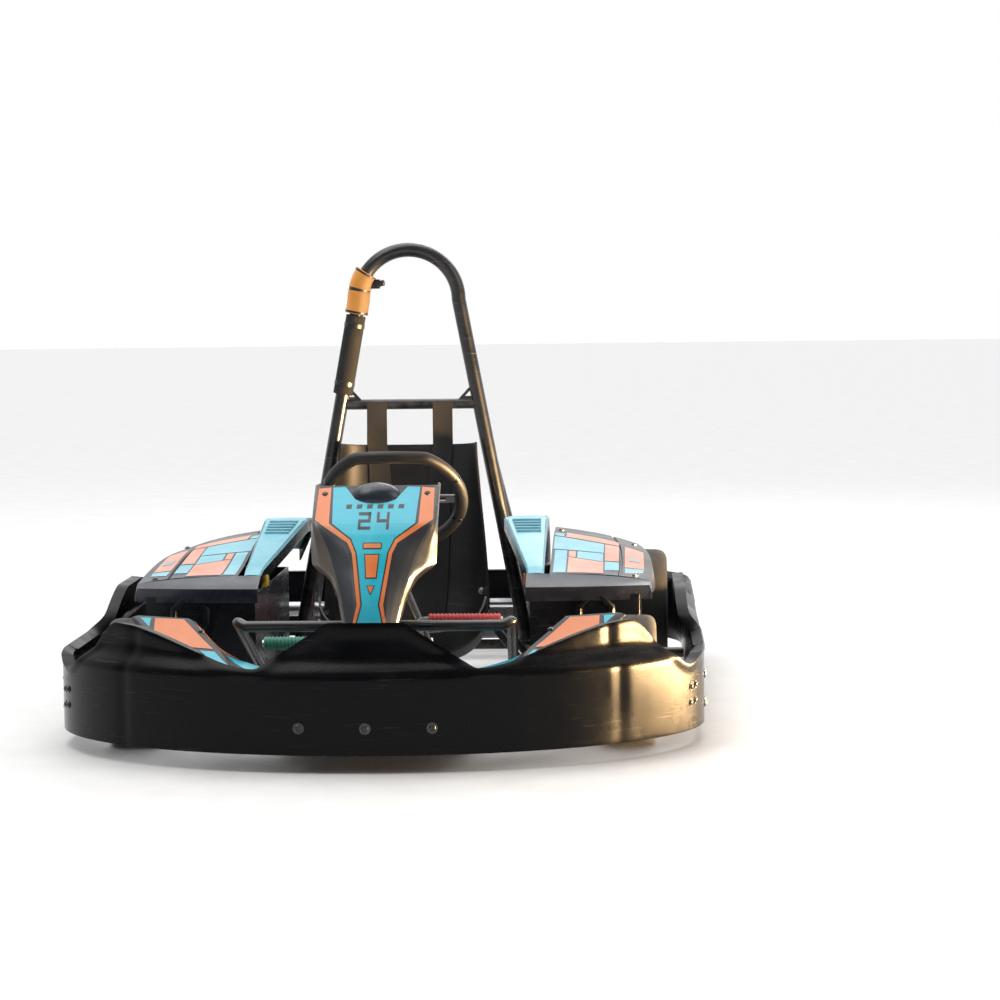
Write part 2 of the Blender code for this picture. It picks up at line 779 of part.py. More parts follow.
def hip_cover(side):
    """The raised ridge between the seat and the deck: it climbs to a louvred top beside the hips."""
    sign = SIDES[side]
    start = POD_START - COVER_OVERHANG + BAND_DEPTH + BAND_STEP + 0.006
    end = POD_START + POD_LENGTH
    top_start = POD_START + 0.68 * POD_LENGTH
    outline = [(start, POD_TOP + 0.040), (start + 0.030, POD_TOP + 0.052), (top_start, HIP_TOP),
               (top_start + 0.10, HIP_TOP - 0.006), (end, POD_TOP + 0.045)]
    inner = [POD_INNER - 0.006, POD_INNER - 0.010, POD_INNER - 0.070, POD_INNER - 0.072, POD_INNER - 0.030]
    outer = COVER_INNER - 0.012
    skirt = POD_TOP + GAP + RUN_GAP
    rows = 8

    def corner(across, along):
        spot = along_line([Vector((x, back, z)) for x, (back, z) in zip(inner, outline)], along)
        columns = [(outer, skirt), (outer, spot.z), (spot.x, spot.z), (spot.x, spot.z - HIP_LIP)]
        x, z = columns[round(across * 3)]
        return point(sign * x, spot.y, max(z, skirt))

    obj = sheet(3, rows, corner, COVER_WALL, offset=sign)
    return finish(obj, side + "_hip_cover", CYAN, 0.35)


# ---------------------------------------------------------------- seat and harness
SEAT_PROFILE = [(-0.150, 0.165), (-0.100, 0.110), (-0.020, 0.078), (0.080, 0.080), (0.140, 0.120),
                (0.175, 0.230), (0.198, 0.360), (0.215, 0.480), (0.225, SEAT_TOP)]


def seat_middle(share):
    """A point of the seat's inner face on the middle line, from its front lip to its top edge."""
    backs = [back for back, height in SEAT_PROFILE]
    heights = [height for back, height in SEAT_PROFILE]
    return SEAT_BACK + along_line(backs, share), along_line(heights, share)


def seat_point(across, share, lift=0.0):
    """A point of the seat's inner face; its sides curve up from the pan and forward from the back."""
    out = 2.0 * across - 1.0
    back, height = seat_middle(share)
    ahead, low = seat_middle(max(share - 0.02, 0.0))
    behind, high = seat_middle(min(share + 0.02, 1.0))
    normal = Vector((0.0, -(high - low), behind - ahead)).normalized()
    waist = 1.0 - 0.16 * smooth_step(0.55, 1.0, share)
    wing = 0.105 * abs(out) ** 3 * (1.0 - 0.35 * smooth_step(0.7, 1.0, share))
    x = SEAT_HALF * waist * math.sin(out * math.pi / 2 * 0.92) / math.sin(math.pi / 2 * 0.92)
    return point(x, back, height) + normal * (wing + lift)


def seat_shell():
    obj = sheet(10, 14, lambda across, along: seat_point(across, along), SEAT_WALL, offset=-1.0)
    return finish(obj, "seat_shell", SEAT_GREY, 0.45)


def shoulder_belt(side):
    """Webbing from the crossbar over the seat's top edge and down its back to the buckle."""
    sign = SIDES[side]
    rows = 14
    seat_rows = 11

    def corner(across, along):
        row = round(along * rows)
        spread = (2.0 * across - 1.0) * BELT_HALF / SEAT_HALF
        share = BUCKLE_SHARE + (1.0 - BUCKLE_SHARE) * min(row, seat_rows) / seat_rows
        drift = BELT_SPREAD * (0.45 + 0.55 * min(row, seat_rows) / seat_rows)
        spot = seat_point(0.5 + (sign * drift + spread) / 2, share, BELT_LIFT)
        if row > seat_rows:
            climb = (row - seat_rows) / (rows - seat_rows)
            top = point(spot.x, HOOP_BACK - CROSSBAR_RADIUS - 2 * BELT_WALL, CROSSBAR_HEIGHT + 0.006)
            spot = spot.lerp(top, climb)
        return spot

    obj = sheet(2, rows, corner, BELT_WALL, offset=1.0)
    return finish(obj, side + "_shoulder_belt", RUBBER, 0.8)


def harness_buckle():
    """The round buckle where the belts meet, lying in the lap of the seat."""
    share = BUCKLE_SHARE - 0.055
    low = seat_point(0.5, share, BELT_LIFT + 0.008)
    normal = Vector((0.0, -0.20, 1.0)).normalized()
    obj = bevelled(cylinder(low, low + normal * 0.020, BUCKLE_RADIUS, 24), 0.003)
    return finish(obj, "harness_buckle", RED, 0.4)


# ---------------------------------------------------------------- roll hoop
def hoop_half(height):
    """Half the distance between the hoop's legs at a height."""
    share = (height - RAIL_TOP) / (HOOP_TOP_BREAK - RAIL_TOP)
    return HOOP_FOOT_HALF + (HOOP_TOP_HALF - HOOP_FOOT_HALF) * share


def hoop_arc():
    """Points over the top of the hoop, from its right leg to its left one."""
    top = HOOP_HEIGHT - HOOP_RADIUS
    rise = top - HOOP_TOP_BREAK
    steps = 12
    turns = [math.pi * step / steps for step in range(steps + 1)]
    spots = [(-HOOP_TOP_HALF * math.cos(a), HOOP_TOP_BREAK + rise * math.sin(a)) for a in turns]
    return [point(x, HOOP_BACK, height) for x, height in spots]


def hoop_path():
    foot = RAIL_TOP + GAP + 0.004
    ends = [point(sign * hoop_half(foot), HOOP_BACK, foot) for sign in (-1, 1)]
    return [ends[0], *hoop_arc(), ends[1]]


def foot_plate(middle, half_x, half_y, wall=0.008):
    """A small plate that rests on a rail."""
    low = Vector((middle.x - half_x, middle.y - half_y, RAIL_TOP + GAP))
    high = Vector((middle.x + half_x, middle.y + half_y, RAIL_TOP + GAP + wall))
    return box(low, high)


def below_rails():
    """A cutter that trims what stands on the rails level with their top."""
    reach = LENGTH
    return box((-reach, -reach, -0.1), (reach, reach, RAIL_TOP + GAP))


def brace_foot():
    """How far back a brace comes down, so that it passes behind the top of the axle's bearing block."""
    block_height = REAR_TYRE_RADIUS + BEARING_HALF - RAIL_TOP
    return REAR_AXLE_BACK + BEARING_HALF + BRACE_RUN * block_height


def roll_hoop():
    """The welded hoop: bent tube, crossbar, two braces to the tail and a foot plate under each leg."""
    hoop = tube(hoop_path(), HOOP_RADIUS)
    bar_half = hoop_half(CROSSBAR_HEIGHT)
    bar = tube([point(-bar_half, HOOP_BACK, CROSSBAR_HEIGHT), point(bar_half, HOOP_BACK, CROSSBAR_HEIGHT)],
               CROSSBAR_RADIUS)
    pieces = [bar]
    foot = RAIL_TOP + 0.006
    for sign in SIDES.values():
        start = point(sign * hoop_half(BRACE_HEIGHT), HOOP_BACK, BRACE_HEIGHT)
        end = point(sign * RAIL_HALF, brace_foot(), foot)
        pieces.append(tube([start, end], BAR_RADIUS))
        pieces.append(foot_plate(point(sign * hoop_half(foot), HOOP_BACK, 0.0), 0.026, 0.030))
        pieces.append(foot_plate(end, 0.022, 0.032))
    join_to(hoop, *pieces)
    cut_from(hoop, below_rails())
    return finish(hoop, "roll_hoop", FRAME_BLACK, 0.35, 0.4)


def hoop_wrap(name, low, high, radius, colour):
    """A pad wrapped round the hoop's right leg between two heights, following its bend."""
    between = [p for p in hoop_arc() if p.x < 0 and low < p.z < high - 0.004]
    start = point(-hoop_half(low), HOOP_BACK, low)
    above = next(p for p in hoop_arc() if p.z >= high - 0.004) if between else None
    end = point(-hoop_half(high), HOOP_BACK, high)
    if above:
        last = between[-1]
        end = last.lerp(above, (high - last.z) / (above.z - last.z))
    wrap = tube([start, *between, end], radius)
    cut_from(wrap, tube(hoop_path(), HOOP_RADIUS + RUN_GAP))
    return finish(wrap, name, colour, 0.7)


def foot_guard():
    """The bar ahead of the pedals: a tube that bends back at each end and comes down to the rails."""
    end_back = POD_START - 0.055
    foot = RAIL_TOP + 0.005
    half = [point(GUARD_HALF - 0.018, GUARD_BACK, GUARD_HEIGHT - 0.004),
            point(GUARD_HALF, GUARD_BACK + 0.012, GUARD_HEIGHT + 0.004),
            point(rail_x(end_back), end_back, foot)]
    other = mirrored(reversed(half))
    path = rounded([*other, *half], 0.012, 3)
    guard = tube(path, GUARD_RADIUS)
    join_to(guard, foot_plate(half[-1], 0.018, 0.024), foot_plate(other[0], 0.018, 0.024))
    cut_from(guard, below_rails())
    return finish(guard, "foot_guard", FRAME_BLACK, 0.35, 0.4)


# ---------------------------------------------------------------- wheels
def tyre_profile(radius, width):
    """A tyre's closed section: round shoulders outside, a seat for the rim inside."""
    half = width / 2
    inner = RIM_RADIUS + GAP * 3
    crown = radius - TREAD_PROUD
    outer_side = [(inner, half * 0.80), (inner + 0.020, half * 0.96), (crown - 0.022, half),
                  (crown - 0.006, half * 0.93), (radius, half * 0.72)]
    return outer_side + [(reach, -offset) for reach, offset in reversed(outer_side)]


def rim_profile(width, bore):
    """A wheel's closed section: hub, web and barrel with a flange at each edge."""
    half = width / 2 * 0.80 - 0.0005
    web = 0.010
    barrel = RIM_RADIUS - RIM_WALL
    hub = bore + 0.012
    outer_side = [(bore, half * 0.9), (hub, half * 0.9), (hub, web), (barrel - 0.004, web),
                  (barrel - 0.004, half), (RIM_RADIUS, half)]
    return outer_side + [(reach, -offset) for reach, offset in reversed(outer_side)]


def wheel(name, x, back, radius, width, bore):
    turn = Matrix.Translation(point(x, back, radius)) @ Matrix.Rotation(math.radians(90.0), 4, "Y")
    tyre = ring(tyre_profile(radius, width), 28, turn)
    finish(tyre, name + "_tyre", RUBBER, 0.85)
    rim = ring(rim_profile(width, bore), 24, turn)
    finish(rim, name + "_rim", ALLOY, 0.35, 1.0)


def front_wheels():
    for side, sign in SIDES.items():
        wheel(side + "_front", sign * FRONT_WHEEL_X, FRONT_AXLE_BACK, FRONT_TYRE_RADIUS, FRONT_TYRE_WIDTH,
              STUB_RADIUS + RUN_GAP)


def rear_wheels():
    for side, sign in SIDES.items():
        wheel(side + "_rear", sign * REAR_WHEEL_X, REAR_AXLE_BACK, REAR_TYRE_RADIUS, REAR_TYRE_WIDTH,
              AXLE_RADIUS + RUN_GAP / 2)


def spindle(side):
    """A stub axle with its kingpin barrel and steering arm."""
    sign = SIDES[side]
    pin = point(sign * KINGPIN_X, FRONT_AXLE_BACK, FRONT_TYRE_RADIUS)
    half = Vector((0.0, 0.0, SPINDLE_BARREL / 2))
    barrel = cylinder(pin - half, pin + half, SPINDLE_RADIUS, 20)
    stub_end = Vector((sign * (FRONT_WHEEL_X + FRONT_TYRE_WIDTH / 2 * 0.80), pin.y, pin.z))
    stub = cylinder(pin + Vector((sign * 0.008, 0.0, 0.0)), stub_end, STUB_RADIUS, 16)
    eye = spindle_eye(sign)
    arm = tube([pin + Vector((0.0, 0.008, -0.004)), eye + Vector((0.0, 0.0, 0.010))], 0.008)
    boss = cylinder(eye + Vector((0.0, 0.0, 0.001)), eye + Vector((0.0, 0.0, 0.018)), 0.010, 16)
    join_to(barrel, stub, arm, boss)
    drop = Vector((0.0, 0.0, SPINDLE_BARREL))
    cut_from(barrel, cylinder(pin - drop, pin + drop, KINGPIN_RADIUS + RUN_GAP, 16))
    return finish(barrel, side + "_spindle", STEEL, 0.35, 1.0)


def spindle_eye(sign):
    """Where a tie rod's outer end sits, just under the steering arm."""
    return point(sign * (KINGPIN_X - 0.018), FRONT_AXLE_BACK + STEER_ARM, FRONT_TYRE_RADIUS - 0.018)


def kingpin(side):
    sign = SIDES[side]
    pin = point(sign * KINGPIN_X, FRONT_AXLE_BACK, FRONT_TYRE_RADIUS)
    face = Vector((0.0, 0.0, SPINDLE_BARREL / 2 + RUN_GAP + YOKE_PLATE + GAP))
    head_height = Vector((0.0, 0.0, 0.006))
    shank = cylinder(pin - face - head_height, pin + face + head_height / 3, KINGPIN_RADIUS)
    head = cylinder(pin + face, pin + face + head_height, KINGPIN_HEAD, 6)
    nut = cylinder(pin - face - head_height * 1.2, pin - face, KINGPIN_HEAD, 6)
    join_to(shank, head, nut)
    return finish(shank, side + "_kingpin", STEEL, 0.3, 1.0)


def column_point(down):
    """A point on the steering axis, this far down from the steering wheel's middle."""
    return point(0.0, WHEEL_BACK, WHEEL_HEIGHT) - COLUMN_AXIS * down


def rod_inner(sign):
    """Where a tie rod's inner end sits, just under the pitman arm."""
    return column_point(PITMAN_AT) - COLUMN_UP * PITMAN_ARM + Vector((sign * ROD_SPREAD, 0.0, 0.0))


def tie_rod(side):
    """A rod with an eye at each end; both eyes are clear of what they hang on."""
    sign = SIDES[side]
    inner = rod_inner(sign) - COLUMN_AXIS * 0.014
    outer = spindle_eye(sign) - Vector((0.0, 0.0, 0.007))
    rod = tube([inner, outer], ROD_RADIUS)
    eye_in = cylinder(inner - COLUMN_AXIS * 0.007, inner + COLUMN_AXIS * 0.007, 0.011, 16)
    eye_out = cylinder(outer - Vector((0.0, 0.0, 0.007)), outer + Vector((0.0, 0.0, 0.007)), 0.011, 16)
    join_to(rod, eye_in, eye_out)
    return finish(rod, side + "_tie_rod", STEEL, 0.35, 1.0)


# ---------------------------------------------------------------- steering column
def steering_shaft():
    """The column with its lower pitman arm welded on."""
    shaft = cylinder(column_point(COLUMN_LENGTH), column_point(0.012), COLUMN_RADIUS, 16)
    centre = column_point(PITMAN_AT)
    turn = Matrix((Vector((1, 0, 0)), COLUMN_UP, -COLUMN_AXIS)).transposed().to_4x4()
    outline = [(-0.014, 0.012), (-0.030, -PITMAN_ARM - 0.012), (0.030, -PITMAN_ARM - 0.012), (0.014, 0.012)]
    arm = plate(outline, 0.006, Matrix.Translation(centre) @ turn)
    join_to(shaft, arm)
    return finish(shaft, "steering_shaft", STEEL, 0.35, 1.0)


def steering_support():
    """Two struts from the frame to a collar that the column turns in."""
    middle = column_point(COLLAR_AT)
    collar = cylinder(middle - COLUMN_AXIS * 0.018, middle + COLUMN_AXIS * 0.018, COLUMN_RADIUS + 0.012, 20)
    foot_height = RAIL_TOP + GAP + 0.005
    struts = []
    for sign in SIDES.values():
        foot = point(sign * STRUT_HALF, FRONT_AXLE_BACK, foot_height)
        struts.append(tube([foot, middle + Vector((sign * 0.014, 0.0, 0.0))], 0.009))
        struts.append(foot_plate(foot, 0.020, 0.014))
    neck = middle + COLUMN_UP * 0.016
    nose = point(0.0, NASSAU_ROWS[-3][1] + 0.030, NASSAU_ROWS[-3][0] - 0.012)
    join_to(collar, *struts, tube([neck, nose], 0.006))
    cut_from(collar, below_rails())
    bore = cylinder(middle - COLUMN_AXIS * 0.040, middle + COLUMN_AXIS * 0.040, COLUMN_RADIUS + RUN_GAP, 20)
    cut_from(collar, bore)
    return finish(collar, "steering_support", FRAME_BLACK, 0.4, 0.4)


def wheel_frame():
    """The steering wheel's own axes: X across, Y up its face, Z down the column, away from the driver."""
    turn = Matrix((Vector((1, 0, 0)), COLUMN_UP, -COLUMN_AXIS)).transposed().to_4x4()
    return Matrix.Translation(column_point(0.0)) @ turn


def wheel_outline(radius):
    """The grip's middle line: a circle with a flat top."""
    flat = radius * 0.86
    turns = [2 * math.pi * step / 32 for step in range(32)]
    spots = [Vector((radius * math.sin(a), radius * math.cos(a), 0.0)) for a in turns]
    return [Vector((p.x, min(p.y, flat + (p.y - flat) * 0.15), 0.0)) for p in spots]


def steering_wheel():
    frame = wheel_frame()
    obj = tube([frame @ p for p in wheel_outline(WHEEL_RADIUS)], GRIP_RADIUS, 2, closed=True)
    return finish(obj, "steering_wheel", RUBBER, 0.7)


def steering_hub():
    """A flat plate with a boss and three spokes that stop just inside the grip."""
    reach = WHEEL_RADIUS - GRIP_RADIUS - 0.0015
    half = 0.014
    spokes = []
    for turn in (90.0, -90.0, 180.0):
        along = Matrix.Rotation(math.radians(turn), 4, "Z")
        outline = [(-half, 0.010), (half, 0.010), (half * 0.8, reach), (-half * 0.8, reach)]
        spokes.append(plate(outline, 0.005, wheel_frame() @ along))
    boss = cylinder(column_point(0.011), column_point(-0.008), 0.032, 24)
    join_to(boss, *spokes)
    return finish(boss, "steering_hub", ALLOY, 0.35, 1.0)


# ---------------------------------------------------------------- pedals and brake
def pedal_axis(x):
    return point(x, PEDAL_BACK, SHAFT_HEIGHT)


def pedal(name, x, height, bar_half, sign):
    """A pedal: barrel on the shaft, an arm up from it and a bar across for the sleeve."""
    arm_x = pedal_arm_x(x, bar_half, sign)
    axis = pedal_axis(arm_x)
    half = Vector((0.014, 0.0, 0.0))
    barrel = cylinder(axis - half, axis + half, PEDAL_BARREL)
    root = axis + Vector((0.0, 0.0, 0.006))
    knee = point(arm_x, PEDAL_BACK - 0.004, height - 0.03)
    top = point(arm_x, PEDAL_BACK - PEDAL_LEAN, height)
    end = top + Vector((sign * 2 * bar_half, 0.0, 0.0))
    arm = tube(rounded([root, knee, top, end], 0.012, 3), PEDAL_BAR_RADIUS)
    join_to(barrel, arm)
    bore = cylinder(axis - half * 2, axis + half * 2, PEDAL_SHAFT_RADIUS + RUN_GAP)
    cut_from(barrel, bore)
    return finish(barrel, name, STEEL, 0.4, 1.0)


def pedal_sleeve(name, x, height, bar_half, sign, colour):
    """The ribbed rubber tube on a pedal's bar."""
    start = point(x - sign * (bar_half - 0.032), PEDAL_BACK - PEDAL_LEAN, height)
    turn = Matrix.Translation(start) @ Matrix.Rotation(math.radians(90.0 * sign), 4, "Y")
    length = 2 * bar_half - 0.024
    inner = PEDAL_BAR_RADIUS + RUN_GAP
    profile = [(inner, length), (SLEEVE_RADIUS, length), (SLEEVE_RADIUS, 0.0), (inner, 0.0)]
    obj = ring(profile, 16, turn)
    return finish(obj, name, colour, 0.7)


def pedal_shaft():
    reach = rail_x(PEDAL_BACK) + 0.004
    obj = cylinder(pedal_axis(-reach), pedal_axis(reach), PEDAL_SHAFT_RADIUS)
    return finish(obj, "pedal_shaft", STEEL, 0.3, 1.0)


def pedal_arm_x(x, bar_half, sign):
    return x - sign * (bar_half - 0.012)


def brake_cylinder():
    """The master cylinder with its fluid cup, on the floor behind the tie rods."""
    x = pedal_arm_x(BRAKE_PEDAL_X, BRAKE_BAR_HALF, 1)
    start = FRONT_AXLE_BACK + STEER_ARM + 0.020
    nose = point(x, start, BRAKE_ROD_HEIGHT)
    barrel = cylinder(nose, nose + Vector((0.0, 0.085, 0.0)), 0.014, 16)
    base_low = point(x - 0.012, start + 0.008, FLOOR + GAP)
    base = box(base_low, point(x + 0.012, start + 0.077, BRAKE_ROD_HEIGHT))
    cup_foot = point(x, start + 0.050, BRAKE_ROD_HEIGHT)
    cup = cylinder(cup_foot, cup_foot + Vector((0.0, 0.0, 0.050)), 0.012, 16)
    join_to(barrel, base, cup)
    return finish(barrel, "brake_cylinder", ALLOY, 0.4, 1.0)


def brake_rod():
    """The push rod from just behind the brake pedal's arm to the master cylinder."""
    x = pedal_arm_x(BRAKE_PEDAL_X, BRAKE_BAR_HALF, 1)
    front = PEDAL_BACK + PEDAL_BAR_RADIUS + 0.006
    back = FRONT_AXLE_BACK + STEER_ARM + 0.020 - GAP
    rod = cylinder(point(x, front, BRAKE_ROD_HEIGHT), point(x, back, BRAKE_ROD_HEIGHT), 0.004, 12)
    fork = box(point(x - 0.008, front, BRAKE_ROD_HEIGHT - 0.007),
               point(x + 0.008, front + 0.018, BRAKE_ROD_HEIGHT + 0.007))
    join_to(rod, fork)
    return finish(rod, "brake_rod", STEEL, 0.3, 1.0)


def throttle_sensor():
    """The box beside the throttle pedal that reads how far its shaft has turned."""
    x = pedal_arm_x(THROTTLE_PEDAL_X, THROTTLE_BAR_HALF, -1) + 0.018
    low = point(x, PEDAL_BACK - 0.020, FLOOR + GAP)
    body = box(low, point(x + 0.028, PEDAL_BACK + 0.020, SHAFT_HEIGHT + 0.018))
    bore = cylinder(pedal_axis(x - 0.05), pedal_axis(x + 0.08), PEDAL_SHAFT_RADIUS + RUN_GAP)
    cut_from(body, bore)
    return finish(body, "throttle_sensor", DARK_PLASTIC, 0.5, smooth=False)


# ---------------------------------------------------------------- rear axle, drive and brake
def axle_point(x):
    return point(x, REAR_AXLE_BACK, REAR_TYRE_RADIUS)


def rear_axle():
    reach = REAR_WHEEL_X + REAR_TYRE_WIDTH / 2 * 0.80
    obj = cylinder(axle_point(-reach), axle_point(reach), AXLE_RADIUS, 24)
    return finish(obj, "rear_axle", STEEL, 0.3, 1.0)


def axle_bearing(side):
    """A bearing block that stands on a main rail."""
    middle = axle_point(SIDES[side] * RAIL_HALF)
    half = Vector((BEARING_WIDTH / 2, BEARING_HALF, 0.0))
    body = bevelled(box(Vector((middle.x - half.x, middle.y - half.y, RAIL_TOP + GAP)),
                        Vector((middle.x + half.x, middle.y + half.y, middle.z + BEARING_HALF))), 0.004)
    wide = Vector((BEARING_WIDTH, 0.0, 0.0))
    cut_from(body, cylinder(middle - wide, middle + wide, AXLE_RADIUS + RUN_GAP, 24))
    return finish(body, side + "_axle_bearing", ALLOY, 0.4, 1.0)


def hub_disc(name, middle, radius, wall, hub, hub_length, bore, steps, colour):
    """A disc with a hub, turned round the X axis."""
    deep = hub_length / 2
    half = wall / 2
    outer_side = [(bore, deep), (hub, deep), (hub, half), (radius, half)]
    profile = outer_side + [(reach, -offset) for reach, offset in reversed(outer_side)]
    turn = Matrix.Translation(middle) @ Matrix.Rotation(math.radians(90.0), 4, "Y")
    return finish(ring(profile, steps, turn), name, colour, 0.35, 1.0)


def motor_sprocket():
    """The motor's small sprocket with the shaft end that carries it."""
    middle = point(SPROCKET_X, MOTOR_BACK, MOTOR_HEIGHT)
    wheel_half = Vector((SPROCKET_WALL / 2, 0.0, 0.0))
    disc = cylinder(middle - wheel_half, middle + wheel_half, PINION_RADIUS, 24)
    shaft = cylinder(middle - wheel_half * 2, middle + Vector((MOTOR_CLEAR - RUN_GAP, 0.0, 0.0)), 0.009, 16)
    join_to(disc, shaft)
    return finish(disc, "motor_sprocket", STEEL, 0.35, 1.0)


def belt_outline(extra, steps=14):
    """The loop round both sprockets, this far outside their edges, as (distance back, height)."""
    big = Vector((REAR_AXLE_BACK, REAR_TYRE_RADIUS))
    small = Vector((MOTOR_BACK, MOTOR_HEIGHT))
    run = small - big
    lean = math.atan2(run.y, run.x)
    open_angle = math.acos((SPROCKET_RADIUS - PINION_RADIUS) / run.length)
    loop = []
    for middle, radius, start, sweep in (
            (big, SPROCKET_RADIUS + extra, lean + open_angle, 2 * (math.pi - open_angle)),
            (small, PINION_RADIUS + extra, lean - open_angle, 2 * open_angle)):
        for step in range(steps + 1):
            turn = start + sweep * step / steps
            loop.append((at(middle.x + radius * math.cos(turn)), middle.y + radius * math.sin(turn)))
    return loop


def drive_chain():
    across = Matrix(((0, 0, 1, SPROCKET_X), (1, 0, 0, 0), (0, 1, 0, 0), (0, 0, 0, 1)))
    outer = belt_outline(CHAIN_GAP + CHAIN_DEPTH)
    obj = plate(outer, SPROCKET_WALL + 0.002, across, [belt_outline(CHAIN_GAP)])
    return finish(obj, "drive_chain", STEEL, 0.4, 1.0, smooth=False)


def drive_motor():
    """The motor, lying across the kart ahead of the axle on its foot."""
    start = SPROCKET_X + MOTOR_CLEAR
    first = point(start, MOTOR_BACK, MOTOR_HEIGHT)
    last = point(start + MOTOR_LENGTH, MOTOR_BACK, MOTOR_HEIGHT)
    body = cylinder(first, last, MOTOR_RADIUS, 28)
    foot = box(point(start + 0.020, MOTOR_BACK - 0.030, BAR_TOP + GAP),
               point(start + MOTOR_LENGTH - 0.020, MOTOR_BACK + 0.030, MOTOR_HEIGHT - MOTOR_RADIUS / 2))
    join_to(body, foot)
    return finish(body, "drive_motor", DARK_PLASTIC, 0.4, 0.8)


def motor_controller():
    """The controller's case, on the cross tube beside the motor."""
    start = SPROCKET_X + MOTOR_CLEAR + MOTOR_LENGTH + 0.012
    end = RAIL_HALF - BEARING_WIDTH / 2 - 0.010
    low = point(start, MOTOR_BACK - 0.040, RAIL_TOP + GAP)
    high = point(end, MOTOR_BACK + 0.045, RAIL_TOP + 0.080)
    obj = bevelled(box(low, high), 0.005)
    return finish(obj, "motor_controller", ALLOY, 0.4, 1.0)


def brake_caliper():
    """A caliper on the motor's cross tube that straddles the front edge of the disc."""
    half = 0.020
    edge = REAR_AXLE_BACK - DISC_RADIUS
    foot = box(point(DISC_X - half, MOTOR_BACK - 0.016, BAR_TOP + GAP),
               point(DISC_X + half, edge - 0.010, MOTOR_HEIGHT - 0.030))
    jaws = box(point(DISC_X - half, edge - 0.016, REAR_TYRE_RADIUS - 0.030),
               point(DISC_X + half, edge + 0.032, REAR_TYRE_RADIUS + 0.034))
    slot = box(point(DISC_X - DISC_WALL / 2 - RUN_GAP, edge - 0.004, 0.0),
               point(DISC_X + DISC_WALL / 2 + RUN_GAP, edge + 0.060, REAR_TYRE_RADIUS + 0.060))
    join_to(foot, jaws)
    cut_from(foot, slot)
    return finish(foot, "brake_caliper", RED, 0.4, 0.5, smooth=False)


# ---------------------------------------------------------------- build
def build():
    front_bumper()
    for side in SIDES:
        side_bumper(side)
    rear_bumper()
    chassis_frame()
    floor_tray()
    front_fairing()
    steering_fairing()
    for side in SIDES:
        battery_box(side)
        battery_pack(side)
        pod_cover(side)
        hip_cover(side)
    seat_shell()
    harness_buckle()
    roll_hoop()
    hoop_wrap("hoop_pad", 0.862, 0.958, PAD_RADIUS, ORANGE)
    hoop_wrap("hoop_foam", 0.675, 0.858, FOAM_RADIUS, RUBBER)
    foot_guard()
    front_wheels()
    rear_wheels()
    for side in SIDES:
        spindle(side)
        kingpin(side)
        tie_rod(side)
        shoulder_belt(side)
        axle_bearing(side)
    steering_shaft()
    steering_support()
    steering_wheel()
    steering_hub()
    pedal("brake_pedal", BRAKE_PEDAL_X, BRAKE_HEIGHT, BRAKE_BAR_HALF, 1)
    pedal_sleeve("brake_sleeve", BRAKE_PEDAL_X, BRAKE_HEIGHT, BRAKE_BAR_HALF, 1, RED)
    pedal("throttle_pedal", THROTTLE_PEDAL_X, THROTTLE_HEIGHT, THROTTLE_BAR_HALF, -1)
    pedal_sleeve("throttle_sleeve", THROTTLE_PEDAL_X, THROTTLE_HEIGHT, THROTTLE_BAR_HALF, -1, GREEN)
    pedal_shaft()
    brake_cylinder()
    brake_rod()
    throttle_sensor()
    rear_axle()
    tight = AXLE_RADIUS + RUN_GAP / 2
    middle = axle_point(SPROCKET_X)
    hub_disc("rear_sprocket", middle, SPROCKET_RADIUS, SPROCKET_WALL, 0.028, 0.022, tight, 40, STEEL)
    hub_disc("brake_disc", axle_point(DISC_X), DISC_RADIUS, DISC_WALL, 0.030, 0.026, tight, 36, STEEL)
    motor_sprocket()
    drive_chain()
    drive_motor()
    motor_controller()
    brake_caliper()


build()
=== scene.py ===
"""Visual model of an electric racing kart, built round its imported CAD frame.

Metres, +Z up. The nose points to -Y and the driver's left is +X. Each sub-assembly is a class that
builds its pieces in place and hands them to the workshop, which finishes, names and mounts them.
Distances called back are measured from the nose, as in the CAD model.
"""
import enum
import logging
import math
from dataclasses import dataclass, field
from typing import Callable, Iterable, Sequence

import bmesh
import bpy
from mathutils import Matrix, Vector


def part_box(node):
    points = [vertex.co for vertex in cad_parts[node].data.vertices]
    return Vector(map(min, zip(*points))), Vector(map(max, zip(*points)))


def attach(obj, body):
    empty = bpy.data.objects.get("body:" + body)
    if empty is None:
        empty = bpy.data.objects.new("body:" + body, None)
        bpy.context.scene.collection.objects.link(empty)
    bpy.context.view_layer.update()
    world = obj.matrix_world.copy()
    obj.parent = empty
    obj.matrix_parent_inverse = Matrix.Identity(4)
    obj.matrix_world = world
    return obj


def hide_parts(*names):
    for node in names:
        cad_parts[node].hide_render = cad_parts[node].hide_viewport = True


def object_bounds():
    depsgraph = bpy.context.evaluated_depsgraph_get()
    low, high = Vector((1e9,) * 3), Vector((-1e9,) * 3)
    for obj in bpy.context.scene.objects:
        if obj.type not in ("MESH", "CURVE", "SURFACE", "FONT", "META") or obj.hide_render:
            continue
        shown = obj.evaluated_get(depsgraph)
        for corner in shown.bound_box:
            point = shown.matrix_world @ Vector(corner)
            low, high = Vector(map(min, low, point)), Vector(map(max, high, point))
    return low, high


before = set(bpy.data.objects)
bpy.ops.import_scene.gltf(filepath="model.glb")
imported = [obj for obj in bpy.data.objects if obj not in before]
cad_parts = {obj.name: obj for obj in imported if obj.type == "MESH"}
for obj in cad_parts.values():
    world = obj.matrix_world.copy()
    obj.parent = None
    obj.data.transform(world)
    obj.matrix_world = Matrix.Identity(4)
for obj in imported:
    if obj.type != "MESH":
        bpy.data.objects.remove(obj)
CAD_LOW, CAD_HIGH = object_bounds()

LOG = logging.getLogger("kart")
HALF_WIDTH = (CAD_HIGH.x - CAD_LOW.x) / 2
